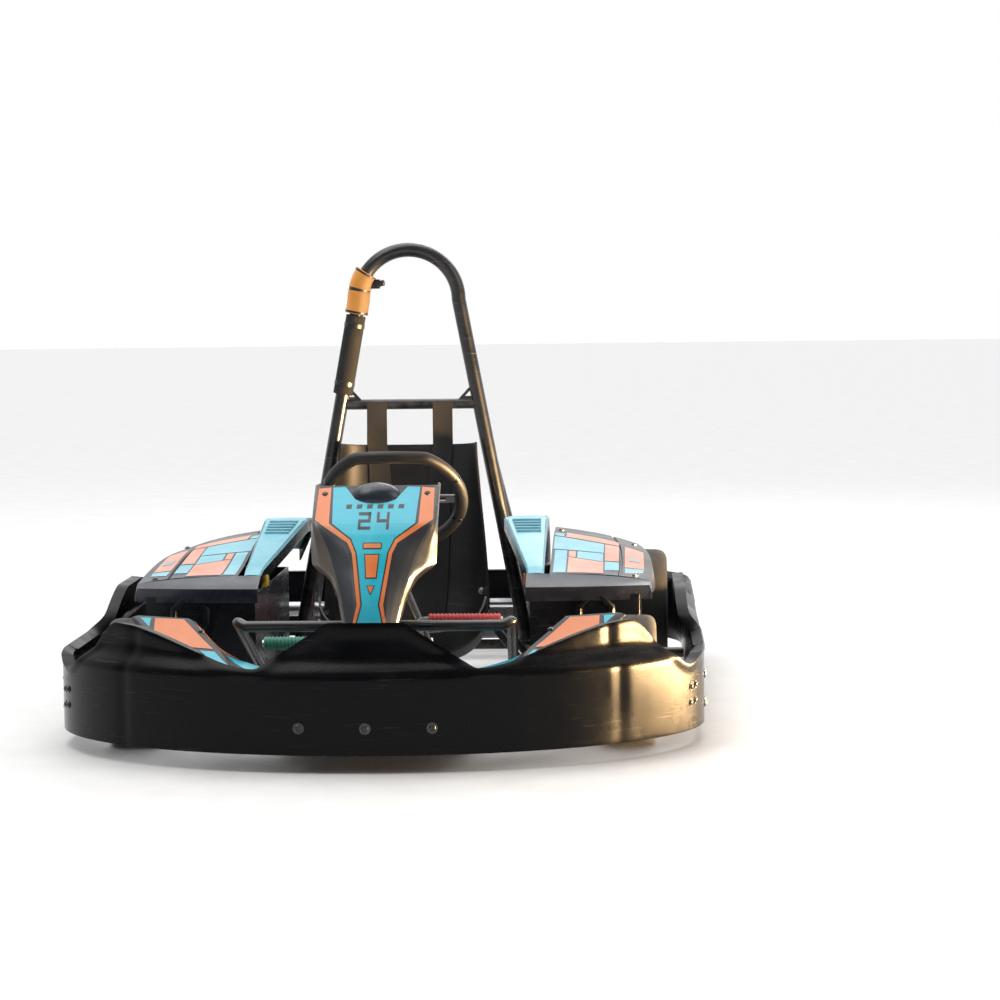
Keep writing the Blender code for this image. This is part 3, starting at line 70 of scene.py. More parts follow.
HALF_LENGTH = (CAD_HIGH.y - CAD_LOW.y) / 2
SIDES = {"left": 1, "right": -1}
UP = Vector((0.0, 0.0, 1.0))
ACROSS = Vector((1.0, 0.0, 0.0))
# points closer than this become one point
WELD = 0.00002
# thickness of the plates under the feet of the hoop and the guard
PLATE = 0.008
# colour of the dust that settles on every finish
DUST = (0.42, 0.37, 0.31)

Colour = tuple[float, float, float]
Surface = Callable[[float, float], Vector]
Outline = Sequence[tuple[float, float]]
Shape = bmesh.types.BMesh
Tree = bpy.types.NodeTree
Node = bpy.types.Node


class Body(str, enum.Enum):
    """The CAD bodies that pieces ride on."""

    CHASSIS = "chassis"
    STEERING = "steering"
    LEFT_KNUCKLE = "left_steer_knuckle"
    RIGHT_KNUCKLE = "right_steer_knuckle"
    LEFT_ROD = "left_rod"
    RIGHT_ROD = "right_rod"
    LEFT_FRONT = "left_front_wheel"
    RIGHT_FRONT = "right_front_wheel"
    REAR = "rear_wheels"
    MOTOR = "motor_drive"
    BRAKE = "brake"
    THROTTLE = "throttle"
    PUSH_ROD = "brake_push_rod"


# ---- small maths
def at(x: float, back: float, z: float) -> Vector:
    """A point from its X, its distance behind the nose and its height."""
    return Vector((x, back - HALF_LENGTH, z))


def smooth_step(low: float, high: float, value: float) -> float:
    """A smooth rise from 0 at low to 1 at high."""
    share = min(max((value - low) / (high - low), 0.0), 1.0)
    return share * share * (3 - 2 * share)


def spline(values: Sequence, share: float):
    """Reads equally spaced numbers or vectors along a smooth curve through all of them.

    Args:
        values: the numbers or vectors.
        share: the place along them, from 0 to 1.
    Returns:
        The value there.
    """
    last = len(values) - 1
    spot = min(max(share, 0.0), 1.0) * last
    index = min(int(spot), last - 1)
    t = spot - index
    one, two = values[index], values[index + 1]
    before = values[index - 1] if index > 0 else one * 2 - two
    after = values[index + 2] if index + 2 <= last else two * 2 - one
    curve = (two - before) * t + (before * 2 - one * 5 + two * 4 - after) * t ** 2
    return one + (curve + ((one - two) * 3 + after - before) * t ** 3) * 0.5


def straight(values: Sequence[float], share: float) -> float:
    """Reads equally spaced numbers in straight runs between them."""
    spot = min(max(share, 0.0), 1.0) * (len(values) - 1)
    index = min(int(spot), len(values) - 2)
    return values[index] + (values[index + 1] - values[index]) * (spot - index)


def rounded_path(points: Sequence[Vector], radius: float, steps: int = 8) -> list[Vector]:
    """A path with each inner corner eased into a curve.

    Args:
        points: the corners.
        radius: the radius of each bend.
        steps: runs in each bend.
    Returns:
        The eased path.
    """
    path = [points[0]]
    for before, corner, after in zip(points, points[1:], points[2:]):
        back = (before - corner).normalized()
        on = (after - corner).normalized()
        cut = radius / math.tan(back.angle(on) / 2)
        start, end = corner + back * cut, corner + on * cut
        for step in range(steps + 1):
            share = step / steps
            path.append(start.lerp(corner, share).lerp(corner.lerp(end, share), share))
    path.append(points[-1])
    return path


# ---- shader groups and finishes
def wire(tree: Tree, kind: str, inputs: dict | None = None, **settings) -> Node:
    """Adds a node, sets its properties and feeds its inputs.

    Args:
        tree: the node tree.
        kind: the node's type, without its ShaderNode prefix.
        inputs: constants or sockets by input name or number.
        settings: properties of the node.
    Returns:
        The node.
    """
    node = tree.nodes.new("ShaderNode" + kind)
    for key, value in settings.items():
        setattr(node, key, value)
    for key, value in (inputs or {}).items():
        if isinstance(value, bpy.types.NodeSocket):
            tree.links.new(value, node.inputs[key])
        else:
            node.inputs[key].default_value = value
    return node


def shader_group(name: str, inputs: dict[str, float], outputs: Sequence[str],
                 fill: Callable[[Tree, Node, Node], None]) -> Tree:
    """Makes a shader node group of float sockets, once.

    Args:
        name: the group's name.
        inputs: input names and their default values.
        outputs: output names.
        fill: adds the group's nodes between its input and output nodes.
    Returns:
        The group's tree.
    """
    found = bpy.data.node_groups.get(name)
    if found:
        return found
    tree = bpy.data.node_groups.new(name, "ShaderNodeTree")
    for label, value in inputs.items():
        socket = tree.interface.new_socket(label, in_out="INPUT", socket_type="NodeSocketFloat")
        socket.default_value = value
    for label in outputs:
        tree.interface.new_socket(label, in_out="OUTPUT", socket_type="NodeSocketFloat")
    fill(tree, tree.nodes.new("NodeGroupInput"), tree.nodes.new("NodeGroupOutput"))
    return tree


def noise(tree: Tree, scale, detail: float = 2.0, roughness: float = 0.5, place=None) -> bpy.types.NodeSocket:
    """Adds a noise pattern.

    Args:
        tree: the node tree.
        scale: its scale, a number or a socket.
        detail: its octaves.
        roughness: how strong the finer octaves are.
        place: the socket of its coordinates, or None for the piece's own.
    Returns:
        The socket of its values.
    """
    if place is None:
        place = wire(tree, "TexCoord").outputs["Object"]
    node = wire(tree, "TexNoise", {"Vector": place, "Scale": scale, "Detail": detail, "Roughness": roughness})
    return node.outputs["Fac"]


def ramp(tree: Tree, value: bpy.types.NodeSocket, low, high) -> bpy.types.NodeSocket:
    """Stretches the values between two limits to 0 to 1."""
    return wire(tree, "MapRange", {"Value": value, "From Min": low, "From Max": high}).outputs["Result"]


def sums(tree: Tree, kind: str, *values) -> bpy.types.NodeSocket:
    """Works out a Math node of a kind from numbers or sockets."""
    return wire(tree, "Math", dict(enumerate(values)), operation=kind).outputs["Value"]


def fill_mottle(tree: Tree, given: Node, out: Node) -> None:
    """Soft cloudy variation from 0 to 1."""
    tree.links.new(ramp(tree, noise(tree, given.outputs["Scale"], 5.0, 0.6), 0.36, 0.64), out.inputs["Value"])


def fill_edge_wear(tree: Tree, given: Node, out: Node) -> None:
    """Rubbed outer edges, broken up by noise."""
    point = wire(tree, "NewGeometry").outputs["Pointiness"]
    sharp = ramp(tree, point, given.outputs["Start"], given.outputs["End"])
    broken = ramp(tree, noise(tree, given.outputs["Scale"], 6.0), 0.38, 0.60)
    tree.links.new(sums(tree, "MULTIPLY", sharp, broken), out.inputs["Mask"])


def fill_dust(tree: Tree, given: Node, out: Node) -> None:
    """Dust that settles on faces that look up."""
    normal = wire(tree, "SeparateXYZ", {0: wire(tree, "TexCoord").outputs["Normal"]})
    upward = ramp(tree, normal.outputs["Z"], 0.25, 1.0)
    cloud = ramp(tree, noise(tree, given.outputs["Scale"], 8.0, 0.7), 0.40, 0.72)
    both = sums(tree, "MULTIPLY", upward, cloud)
    tree.links.new(sums(tree, "MULTIPLY", both, given.outputs["Amount"]), out.inputs["Mask"])


def fill_scratches(tree: Tree, given: Node, out: Node) -> None:
    """Fine scuffs that run mostly level, in two slightly crossed directions."""
    place = wire(tree, "TexCoord").outputs["Object"]
    found = []
    for turn, stretch in ((0.10, 26.0), (-0.22, 40.0)):
        turned_place = wire(
            tree, "Mapping", {"Vector": place, "Rotation": (turn, turn, 0.4), "Scale": (1.0, 1.0, stretch)})
        streaks = noise(tree, given.outputs["Scale"], place=turned_place.outputs["Vector"])
        found.append(ramp(tree, streaks, 0.66, 0.72))
    where = ramp(tree, noise(tree, 5.0), 0.44, 0.62)
    tree.links.new(sums(tree, "MULTIPLY", sums(tree, "MAXIMUM", *found), where), out.inputs["Mask"])


def fill_grain(tree: Tree, given: Node, out: Node) -> None:
    """The fine pebbled height of moulded plastic, paint or cast metal."""
    place = wire(tree, "TexCoord").outputs["Object"]
    cells = wire(tree, "TexVoronoi", {"Vector": place, "Scale": given.outputs["Scale"]}, feature="SMOOTH_F1")
    mixed = sums(tree, "MULTIPLY_ADD", noise(tree, 28.0, 3.0), 0.8, cells.outputs["Distance"])
    tree.links.new(mixed, out.inputs["Height"])


def fill_weave(tree: Tree, given: Node, out: Node) -> None:
    """Crossed threads in the piece's own UV map."""
    parts = wire(tree, "SeparateXYZ", {0: wire(tree, "TexCoord").outputs["UV"]})
    threads = [sums(tree, "SINE", sums(tree, "MULTIPLY", parts.outputs[axis], given.outputs["Scale"]))
               for axis in "XY"]
    tree.links.new(ramp(tree, sums(tree, "MULTIPLY", *threads), -1.0, 1.0), out.inputs["Height"])


def fill_bands(tree: Tree, given: Node, out: Node) -> None:
    """Fine turning or brushing marks along one direction of the piece."""
    place = wire(tree, "TexCoord").outputs["Object"]
    pulled = wire(tree, "Mapping", {"Vector": place, "Scale": (0.15, 1.0, 1.0)}).outputs["Vector"]
    tree.links.new(noise(tree, given.outputs["Scale"], 4.0, 0.7, pulled), out.inputs["Height"])


def grouped(tree: Tree, name: str, **values: float) -> Node:
    """Places one of the shared groups in a material.

    Args:
        tree: the material's tree.
        name: mottle, edge_wear, dust, scratches, grain, weave or bands.
        values: the group's inputs.
    Returns:
        The group node.
    """
    inputs, output, fill = {
        "mottle": ({"Scale": 8.0}, "Value", fill_mottle),
        "edge_wear": ({"Start": 0.56, "End": 0.68, "Scale": 30.0}, "Mask", fill_edge_wear),
        "dust": ({"Amount": 0.5, "Scale": 12.0}, "Mask", fill_dust),
        "scratches": ({"Scale": 9.0}, "Mask", fill_scratches),
        "grain": ({"Scale": 600.0}, "Height", fill_grain),
        "weave": ({"Scale": 600.0}, "Height", fill_weave),
        "bands": ({"Scale": 400.0}, "Height", fill_bands),
    }[name]
    node = tree.nodes.new("ShaderNodeGroup")
    node.node_tree = shader_group(name, inputs, [output], fill)
    for key, value in values.items():
        node.inputs[key].default_value = value
    return node


class Relief(str, enum.Enum):
    """What gives a finish its fine height."""

    GRAIN = "grain"
    WEAVE = "weave"
    BANDS = "bands"


@dataclass(frozen=True)
class Finish:
    """A surface finish: its colours, gloss, relief and wear."""

    name: str
    colour: Colour
    shade: Colour
    roughness: float = 0.40
    spread: float = 0.10
    metallic: float = 0.0
    coat: float = 0.0
    sheen: float = 0.0
    specular: float = 0.5
    mottle: float = 9.0
    relief: Relief = Relief.GRAIN
    fine: float = 700.0
    bump: float = 0.12
    worn: Colour = (0.30, 0.31, 0.33)
    wear: float = 0.35
    scratched: float = 0.0
    dust: float = 0.08

    def _mixed(self, tree: Tree, base, other: Colour, mask, share: float):
        """Mixes a colour over another through a mask.

        Args:
            tree: the material's tree.
            base: the socket of the colour below.
            other: the colour on top.
            mask: the mask's socket.
            share: how strong the top colour is.
        Returns:
            The socket of the mixed colour.
        """
        amount = sums(tree, "MULTIPLY", mask, share)
        mixed = wire(tree, "Mix", {"Factor": amount, "A": base, "B": (*other, 1.0)}, data_type="RGBA")
        return mixed.outputs["Result"]

    def material(self) -> bpy.types.Material:
        """Builds the material, once.

        Returns:
            The material.
        """
        name = "finish_" + self.name
        found = bpy.data.materials.get(name)
        if found:
            return found
        found = bpy.data.materials.new(name)
        found.use_nodes = True
        tree = found.node_tree
        shader = tree.nodes["Principled BSDF"]
        shader.inputs["Metallic"].default_value = self.metallic
        shader.inputs["Coat Weight"].default_value = self.coat
        shader.inputs["Coat Roughness"].default_value = 0.12
        shader.inputs["Sheen Weight"].default_value = self.sheen
        shader.inputs["Specular IOR Level"].default_value = self.specular
        cloud = grouped(tree, "mottle", Scale=self.mottle).outputs["Value"]
        base = wire(tree, "Mix", {"Factor": cloud, "A": (*self.colour, 1.0), "B": (*self.shade, 1.0)},
                    data_type="RGBA").outputs["Result"]
        rough = wire(tree, "MapRange", {"Value": cloud, "To Min": self.roughness - self.spread / 2,
                                        "To Max": self.roughness + self.spread / 2}).outputs["Result"]
        if self.wear:
            edges = grouped(tree, "edge_wear").outputs["Mask"]
            base = self._mixed(tree, base, self.worn, edges, self.wear)
        if self.scratched:
            lines = grouped(tree, "scratches").outputs["Mask"]
            base = self._mixed(tree, base, self.worn, lines, self.scratched)
            rough = sums(tree, "MULTIPLY_ADD", lines, 0.18, rough)
        if self.dust:
            film = grouped(tree, "dust", Amount=1.0).outputs["Mask"]
            base = self._mixed(tree, base, DUST, film, self.dust)
            rough = sums(tree, "MULTIPLY_ADD", film, 0.25, rough)
        height = grouped(tree, self.relief.value, Scale=self.fine).outputs["Height"]
        bump = wire(tree, "Bump", {"Height": height, "Strength": self.bump, "Distance": 0.0006})
        tree.links.new(base, shader.inputs["Base Color"])
        tree.links.new(rough, shader.inputs["Roughness"])
        tree.links.new(bump.outputs["Normal"], shader.inputs["Normal"])
        return found


BUMPER_PLASTIC = Finish(
    "bumper_plastic", (0.0022, 0.0026, 0.0036), (0.0048, 0.0052, 0.0066), 0.24, 0.16, specular=0.12,
    mottle=5.0, fine=420.0, bump=0.14, worn=(0.09, 0.09, 0.10), wear=0.20, scratched=0.30, dust=0.015)
DARK_PLASTIC = Finish(
    "dark_plastic", (0.008, 0.010, 0.015), (0.014, 0.017, 0.023), 0.26, 0.12, fine=900.0, specular=0.40,
    worn=(0.13, 0.14, 0.16), wear=0.25, scratched=0.20, dust=0.03)
SLATE_PLASTIC = Finish(
    "slate_plastic", (0.010, 0.016, 0.030), (0.018, 0.026, 0.044), 0.28, 0.10, coat=0.2, fine=800.0,
    worn=(0.22, 0.25, 0.30), wear=0.35, scratched=0.25, dust=0.03)
# Painted reflection: the steering panel's dark flanks take this bronze colour in place of the warm light that
# they reflect.
FLANK_PAINTED_REFLECTION = Finish(
    "pillar_painted_reflection", (0.075, 0.066, 0.058), (0.115, 0.096, 0.078), 0.30, 0.14, coat=0.2, fine=900.0,
    worn=(0.22, 0.20, 0.17), wear=0.30, scratched=0.25)
CYAN_FILM = Finish(
    "cyan_film", (0.012, 0.50, 0.66), (0.020, 0.58, 0.74), 0.30, 0.08, coat=0.35, fine=900.0, bump=0.05,
    worn=(0.60, 0.75, 0.80), wear=0.25, scratched=0.10, dust=0.05)
ORANGE_FILM = Finish(
    "orange_film", (0.86, 0.210, 0.045), (0.93, 0.27, 0.075), 0.32, 0.08, coat=0.35, fine=900.0, bump=0.05,
    worn=(0.95, 0.66, 0.50), wear=0.25, scratched=0.10, dust=0.05)
FADED_CYAN = Finish(
    "faded_cyan_film", (0.135, 0.52, 0.66), (0.26, 0.64, 0.76), 0.36, 0.12, coat=0.25, mottle=14.0,
    fine=900.0, bump=0.06, worn=(0.70, 0.80, 0.84), wear=0.20, scratched=0.25, dust=0.12)
FADED_ORANGE = Finish(
    "faded_orange_film", (0.78, 0.27, 0.155), (0.80, 0.42, 0.31), 0.38, 0.12, coat=0.25, mottle=14.0,
    fine=900.0, bump=0.06, worn=(0.88, 0.74, 0.68), wear=0.20, scratched=0.25, dust=0.12)
GREY_FILM = Finish(
    "grey_film", (0.30, 0.35, 0.41), (0.40, 0.45, 0.50), 0.40, 0.10, coat=0.2, fine=900.0, bump=0.06,
    worn=(0.60, 0.62, 0.65), wear=0.20, scratched=0.20)
INK = Finish(
    "dark_film", (0.012, 0.017, 0.026), (0.020, 0.026, 0.036), 0.38, 0.08, coat=0.2, fine=900.0, bump=0.05,
    wear=0.15)
FRAME_PAINT = Finish(
    "frame_paint", (0.014, 0.015, 0.018), (0.022, 0.023, 0.026), 0.30, 0.12, coat=0.3, fine=500.0, bump=0.10,
    worn=(0.30, 0.28, 0.26), wear=0.45, scratched=0.35, dust=0.12)
TYRE_RUBBER = Finish(
    "tyre_rubber", (0.013, 0.013, 0.014), (0.022, 0.021, 0.021), 0.78, 0.14, sheen=0.1, mottle=22.0,
    fine=260.0, bump=0.35, worn=(0.07, 0.066, 0.062), wear=0.40, dust=0.20)
GRIP_RUBBER = Finish(
    "grip_rubber", (0.010, 0.011, 0.013), (0.018, 0.019, 0.021), 0.50, 0.16, mottle=18.0, fine=900.0,
    bump=0.30, worn=(0.10, 0.10, 0.10), wear=0.20, dust=0.04)
FOAM = Finish(
    "hoop_foam", (0.013, 0.014, 0.016), (0.026, 0.027, 0.029), 0.88, 0.10, mottle=26.0, fine=380.0, bump=0.55,
    worn=(0.12, 0.12, 0.12), wear=0.30)
SATIN_STEEL = Finish(
    "satin_steel", (0.50, 0.51, 0.53), (0.40, 0.41, 0.43), 0.30, 0.14, metallic=1.0, mottle=16.0,
    relief=Relief.BANDS, fine=500.0, bump=0.06, worn=(0.72, 0.72, 0.74), wear=0.5, dust=0.05)
DARK_STEEL = Finish(
    "dark_steel", (0.16, 0.16, 0.17), (0.24, 0.23, 0.22), 0.38, 0.16, metallic=1.0, mottle=18.0,
    relief=Relief.BANDS, fine=400.0, bump=0.08, worn=(0.50, 0.50, 0.50), wear=0.5)
CAST_ALLOY = Finish(
    "cast_alloy", (0.52, 0.53, 0.55), (0.42, 0.43, 0.45), 0.40, 0.14, metallic=1.0, mottle=12.0, fine=420.0,
    bump=0.22, worn=(0.75, 0.75, 0.76), wear=0.5, dust=0.08)
RED_RUBBER = Finish(
    "red_rubber", (0.62, 0.045, 0.045), (0.72, 0.085, 0.075), 0.52, 0.12, mottle=20.0, fine=500.0, bump=0.15,
    worn=(0.85, 0.40, 0.35), wear=0.30)
GREEN_RUBBER = Finish(
    "green_rubber", (0.050, 0.270, 0.185), (0.085, 0.34, 0.24), 0.55, 0.12, mottle=20.0, fine=500.0,
    bump=0.15, worn=(0.40, 0.62, 0.52), wear=0.30)
ORANGE_WRAP = Finish(
    "orange_wrap", (0.92, 0.36, 0.050), (0.95, 0.42, 0.085), 0.62, 0.10, sheen=0.2, mottle=20.0,
    relief=Relief.WEAVE, fine=900.0, bump=0.25, worn=(0.95, 0.66, 0.35), wear=0.20, dust=0.06)
WEBBING = Finish(
    "webbing", (0.014, 0.015, 0.018), (0.024, 0.025, 0.029), 0.80, 0.10, sheen=0.3, mottle=30.0,
    relief=Relief.WEAVE, fine=1500.0, bump=0.6, worn=(0.10, 0.10, 0.11), wear=0.20)
SEAT_PLASTIC = Finish(
    "seat_plastic", (0.016, 0.017, 0.020), (0.026, 0.027, 0.030), 0.46, 0.14, mottle=7.0, fine=520.0,
    bump=0.22, worn=(0.14, 0.14, 0.15), wear=0.30, scratched=0.35)
BUCKLE_RED = Finish(
    "buckle_red", (0.55, 0.030, 0.030), (0.62, 0.050, 0.045), 0.36, 0.10, wear=0.3, worn=(0.80, 0.40, 0.38))
CALIPER_RED = Finish(
    "caliper_red", (0.50, 0.030, 0.030), (0.60, 0.050, 0.045), 0.32, 0.10, metallic=0.6, wear=0.4,
    worn=(0.65, 0.60, 0.60))
YELLOW_CAP = Finish(
    "yellow_cap", (0.90, 0.55, 0.02), (0.95, 0.62, 0.04), 0.40, 0.10, wear=0.2, worn=(0.95, 0.85, 0.5))


# ---- workshop
def new_grid(across: int, along: int, surface: Surface, outward: Vector | None = None) -> Shape:
    """A grid whose points go where a surface says, with a UV map of its two shares.

    Args:
        across: runs in the first direction.
        along: runs in the second direction.
        surface: gives a point for two shares from 0 to 1.
        outward: a direction that most of its faces look towards.
    Returns:
        The bmesh.
    """
    bm = bmesh.new()
    bmesh.ops.create_grid(bm, x_segments=across, y_segments=along, size=1.0)
    layer = bm.loops.layers.uv.new("UVMap")
    for face in bm.faces:
        for loop in face.loops:
            loop[layer].uv = ((loop.vert.co.x + 1) / 2, (loop.vert.co.y + 1) / 2)
    for vert in bm.verts:
        vert.co = surface((vert.co.x + 1) / 2, (vert.co.y + 1) / 2)
    bmesh.ops.remove_doubles(bm, verts=bm.verts, dist=0.00005)
    if outward is not None:
        face_towards(bm, outward)
    return bm


def face_towards(bm: Shape, outward: Vector) -> None:
    """Turns an open sheet's faces so that, taken together, they look towards a direction."""
    bm.normal_update()
    total = sum((face.normal * face.calc_area() for face in bm.faces), Vector())
    if total.dot(outward) < 0:
        bmesh.ops.reverse_faces(bm, faces=bm.faces)


def face_from(bm: Shape, middle: Vector) -> None:
    """Turns an open sheet's faces so that, taken together, they look away from a point."""
    bm.normal_update()
    total = sum((face.calc_center_median() - middle).dot(face.normal) * face.calc_area() for face in bm.faces)
    if total < 0:
        bmesh.ops.reverse_faces(bm, faces=bm.faces)


def merge(*parts: Shape) -> Shape:
    """Puts several shapes into one.

    Args:
        parts: the shapes; all but the first are used up.
    Returns:
        The first, which now holds them all.
    """
    first = parts[0]
    for part in parts[1:]:
        mesh = bpy.data.meshes.new("part")
        part.to_mesh(mesh)
        part.free()
        first.from_mesh(mesh)
        bpy.data.meshes.remove(mesh)
    return first


def placed(name: str, data: bpy.types.ID) -> bpy.types.Object:
    """Links a new object that holds a mesh, curve, light or camera."""
    obj = bpy.data.objects.new(name, data)
    bpy.context.scene.collection.objects.link(obj)
    return obj


@dataclass
class Workshop:
    """Turns shapes into finished pieces and keeps count of them."""

    count: int = 0

    def piece(self, name: str, bm: Shape, finishes: Finish | Sequence[Finish], slot: str,
              replaces: Iterable[str] = (), wall: float = 0.0, bevel: float = 0.0, segments: int = 2,
              smooth: float = 35.0, closed: bool = True, even: bool = True,
              body: Body = Body.CHASSIS) -> bpy.types.Object:
        """Makes a piece from a shape in place.

        Args:
            name: the piece's name.
            bm: its shape, which is used up.
            finishes: one finish, or one for each material index.
            slot: the record's material slot; not used.
            replaces: the CAD nodes that it stands for.
            wall: the wall that an open sheet gets, inwards.
            bevel: the width of its rounded edges.
            segments: steps in each rounded edge.
            smooth: edges sharper than this many degrees stay sharp.
            closed: whether the shape is closed, so that its normals can be worked out.
            even: whether the wall keeps its thickness at sharp turns.
            body: the CAD body that it rides on.
        Returns:
            The piece.
        """
        if closed:
            bmesh.ops.recalc_face_normals(bm, faces=bm.faces)
        mesh = bpy.data.meshes.new(name)
        bm.to_mesh(mesh)
        bm.free()
        obj = placed(name, mesh)
        for finish in [finishes] if isinstance(finishes, Finish) else finishes:
            mesh.materials.append(finish.material())
        if wall:
            solid = obj.modifiers.new("wall", "SOLIDIFY")
            solid.thickness = wall
            solid.offset = -1.0
            solid.use_even_offset = even
        if bevel:
            edges = obj.modifiers.new("edges", "BEVEL")
            edges.width = bevel
            edges.segments = segments
            edges.limit_method = "ANGLE"
            edges.angle_limit = math.radians(34.0)
            edges.harden_normals = False
        mesh.shade_smooth()
        mesh.set_sharp_from_angle(angle=math.radians(smooth))
        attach(obj, body.value)
        if replaces:
            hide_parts(*replaces)
        self.count += 1
        LOG.info("%s rides on %s, %d faces", name, body.value, len(mesh.polygons))
        return obj

    def tube(self, name: str, paths: Sequence[tuple[Sequence[Vector], float]], finish: Finish,
             slot: str, replaces: Iterable[str] = (), cyclic: bool = False, extra: Shape | None = None,
             rings: int = 5, body: Body = Body.CHASSIS) -> bpy.types.Object:
        """Makes a piece of round tubes.

        Args:
            name: the piece's name.
            paths: each tube's middle line and radius.
            finish: its finish.
            slot: the record's material slot.
            replaces: the CAD nodes that it stands for.
            cyclic: whether the tubes close on themselves.
            extra: a shape to add to the piece.
            rings: the tubes' bevel resolution.
            body: the CAD body that it rides on.
        Returns:
            The piece.
        """
        bm = bmesh.new()
        for points, radius in paths:
            merge(bm, tube_mesh(points, radius, cyclic, rings))
        if extra is not None:
            merge(bm, extra)
        return self.piece(name, bm, finish, slot, replaces, smooth=40.0, body=body)

    def refine(self, node: str, finish: Finish, slot: str, bevel: float = 0.0012, extra: Shape | None = None,
               body: Body = Body.CHASSIS) -> bpy.types.Object:
        """Makes a piece from a copy of a CAD node with whole flat faces and rounded edges.

        Args:
            node: the CAD node.
            finish: its finish.
            slot: the record's material slot.
            bevel: the width of its rounded edges.
            extra: a shape to add to the piece.
            body: the CAD body that it rides on.
        Returns:
            The piece.
        """
        bm = bmesh.new()
        bm.from_mesh(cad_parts[node].data)
        bmesh.ops.remove_doubles(bm, verts=bm.verts, dist=WELD)
        bmesh.ops.dissolve_limit(bm, angle_limit=math.radians(1.0), verts=bm.verts, edges=bm.edges)
        if extra is not None:
            merge(bm, extra)
        return self.piece("visual_" + node, bm, finish, slot, [node], bevel=bevel, body=body)


def tube_mesh(points: Sequence[Vector], radius: float, cyclic: bool = False, rings: int = 5) -> Shape:
    """A round tube along a path, as a closed shape.

    Args:
        points: its middle line.
        radius: its radius.
        cyclic: whether it closes on itself.
        rings: the bevel resolution.
    Returns:
        The bmesh.
    """
    curve = bpy.data.curves.new("tube", "CURVE")
    curve.dimensions = "3D"
    curve.bevel_depth = radius
    curve.bevel_resolution = rings
    curve.use_fill_caps = not cyclic
    line = curve.splines.new("POLY")
    line.points.add(len(points) - 1)
    for knot, place in zip(line.points, points):
        knot.co = (*place, 1.0)
    line.use_cyclic_u = cyclic
    holder = placed("tube", curve)
    graph = bpy.context.evaluated_depsgraph_get()
    mesh = bpy.data.meshes.new_from_object(holder.evaluated_get(graph))
    bm = bmesh.new()
    bm.from_mesh(mesh)
    bmesh.ops.remove_doubles(bm, verts=bm.verts, dist=WELD)
    bpy.data.objects.remove(holder)
    bpy.data.curves.remove(curve)
    bpy.data.meshes.remove(mesh)
    return bm


def turned(profile: Outline, place: Matrix, steps: int = 48, closed: bool = True) -> Shape:
    """A turned shape: a profile of (radius, height) spun round its own Z axis.

    Args:
        profile: the points of the profile.
        place: where the shape goes.
        steps: runs round the axis.
        closed: whether the profile closes on itself.
    Returns:
        The bmesh.
    """
    bm = bmesh.new()
    points = [bm.verts.new((radius, 0.0, height)) for radius, height in profile]
    pairs = list(zip(points, points[1:]))
    if closed:
        pairs.append((points[-1], points[0]))
    edges = [bm.edges.new(pair) for pair in pairs]
    bmesh.ops.spin(
        bm, geom=points + edges, cent=(0, 0, 0), axis=(0, 0, 1), dvec=(0, 0, 0), angle=2 * math.pi,
        steps=steps, use_merge=True, use_duplicate=False)
    bmesh.ops.remove_doubles(bm, verts=bm.verts, dist=WELD)
    bmesh.ops.transform(bm, matrix=place, verts=bm.verts)
    return bm


def block(low: Sequence[float], high: Sequence[float], bevel: float = 0.0, segments: int = 2,
          place: Matrix | None = None) -> Shape:
    """A box between two corners with rounded edges.

    Args:
        low: one corner.
        high: the opposite corner.
        bevel: the radius of its edges.
        segments: steps in each rounded edge.
        place: a transform for the finished box.
    Returns:
        The bmesh.
    """
    bm = bmesh.new()
    middle = [(a + b) / 2 for a, b in zip(low, high)]
    size = [abs(b - a) for a, b in zip(low, high)]
    bmesh.ops.create_cube(bm, size=1.0, matrix=Matrix.Translation(middle) @ Matrix.Diagonal((*size, 1.0)))
    if bevel:
        bmesh.ops.bevel(
            bm, geom=bm.edges[:], offset=bevel, affect="EDGES", segments=segments, profile=0.5, material=-1)
    if place is not None:
        bmesh.ops.transform(bm, matrix=place, verts=bm.verts)
    return bm


def facing(point: Vector, axis: Vector, up: Vector = UP) -> Matrix:
    """A placement whose Z looks along an axis.

    Args:
        point: its origin.
        axis: where its Z points.
        up: what its Y keeps close to.
    Returns:
        The matrix.
    """
    along = axis.normalized()
    side = up.cross(along)
    if side.length < 1e-4:
        side = ACROSS.cross(along)
    side.normalize()
    return Matrix.Translation(point) @ Matrix((side, along.cross(side), along)).transposed().to_4x4()


def rod(start: Vector, end: Vector, radius: float, bevel: float = 0.0, sides: int = 32) -> Shape:
    """A closed round bar between two points.

    Args:
        start: the middle of one end.
        end: the middle of the other end.
        radius: its radius.
        bevel: how far its ends are chamfered.
        sides: faces round it.
    Returns:
        The bmesh.
    """
    length = (end - start).length
    cut = min(bevel, length / 3)
    profile = [(0.0, 0.0), (radius - cut, 0.0), (radius, cut), (radius, length - cut), (radius - cut, length),
               (0.0, length)]
    return turned(profile, facing(start, end - start), sides, closed=False)


def bolt(point: Vector, axis: Vector, radius: float = 0.006) -> Shape:
    """A button head bolt with a hex socket on its washer.

    Args:
        point: where the washer rests.
        axis: where the head points.
        radius: the head's radius.
    Returns:
        The bmesh.
    """
    height = radius * 0.62
    washer = radius * 0.22
    place = facing(point, axis)
    base = turned(
        [(0.0, 0.0), (radius * 1.45, 0.0), (radius * 1.45, washer), (0.0, washer)], place, 20, closed=False)
    dome = [(0.0, washer), (radius, washer), (radius, washer + height * 0.35),
            (radius * 0.86, washer + height * 0.75), (radius * 0.55, washer + height),
            (radius * 0.42, washer + height), (radius * 0.40, washer + height * 0.4),
            (0.0, washer + height * 0.4)]
    return merge(base, turned(dome, place, 18, closed=False))


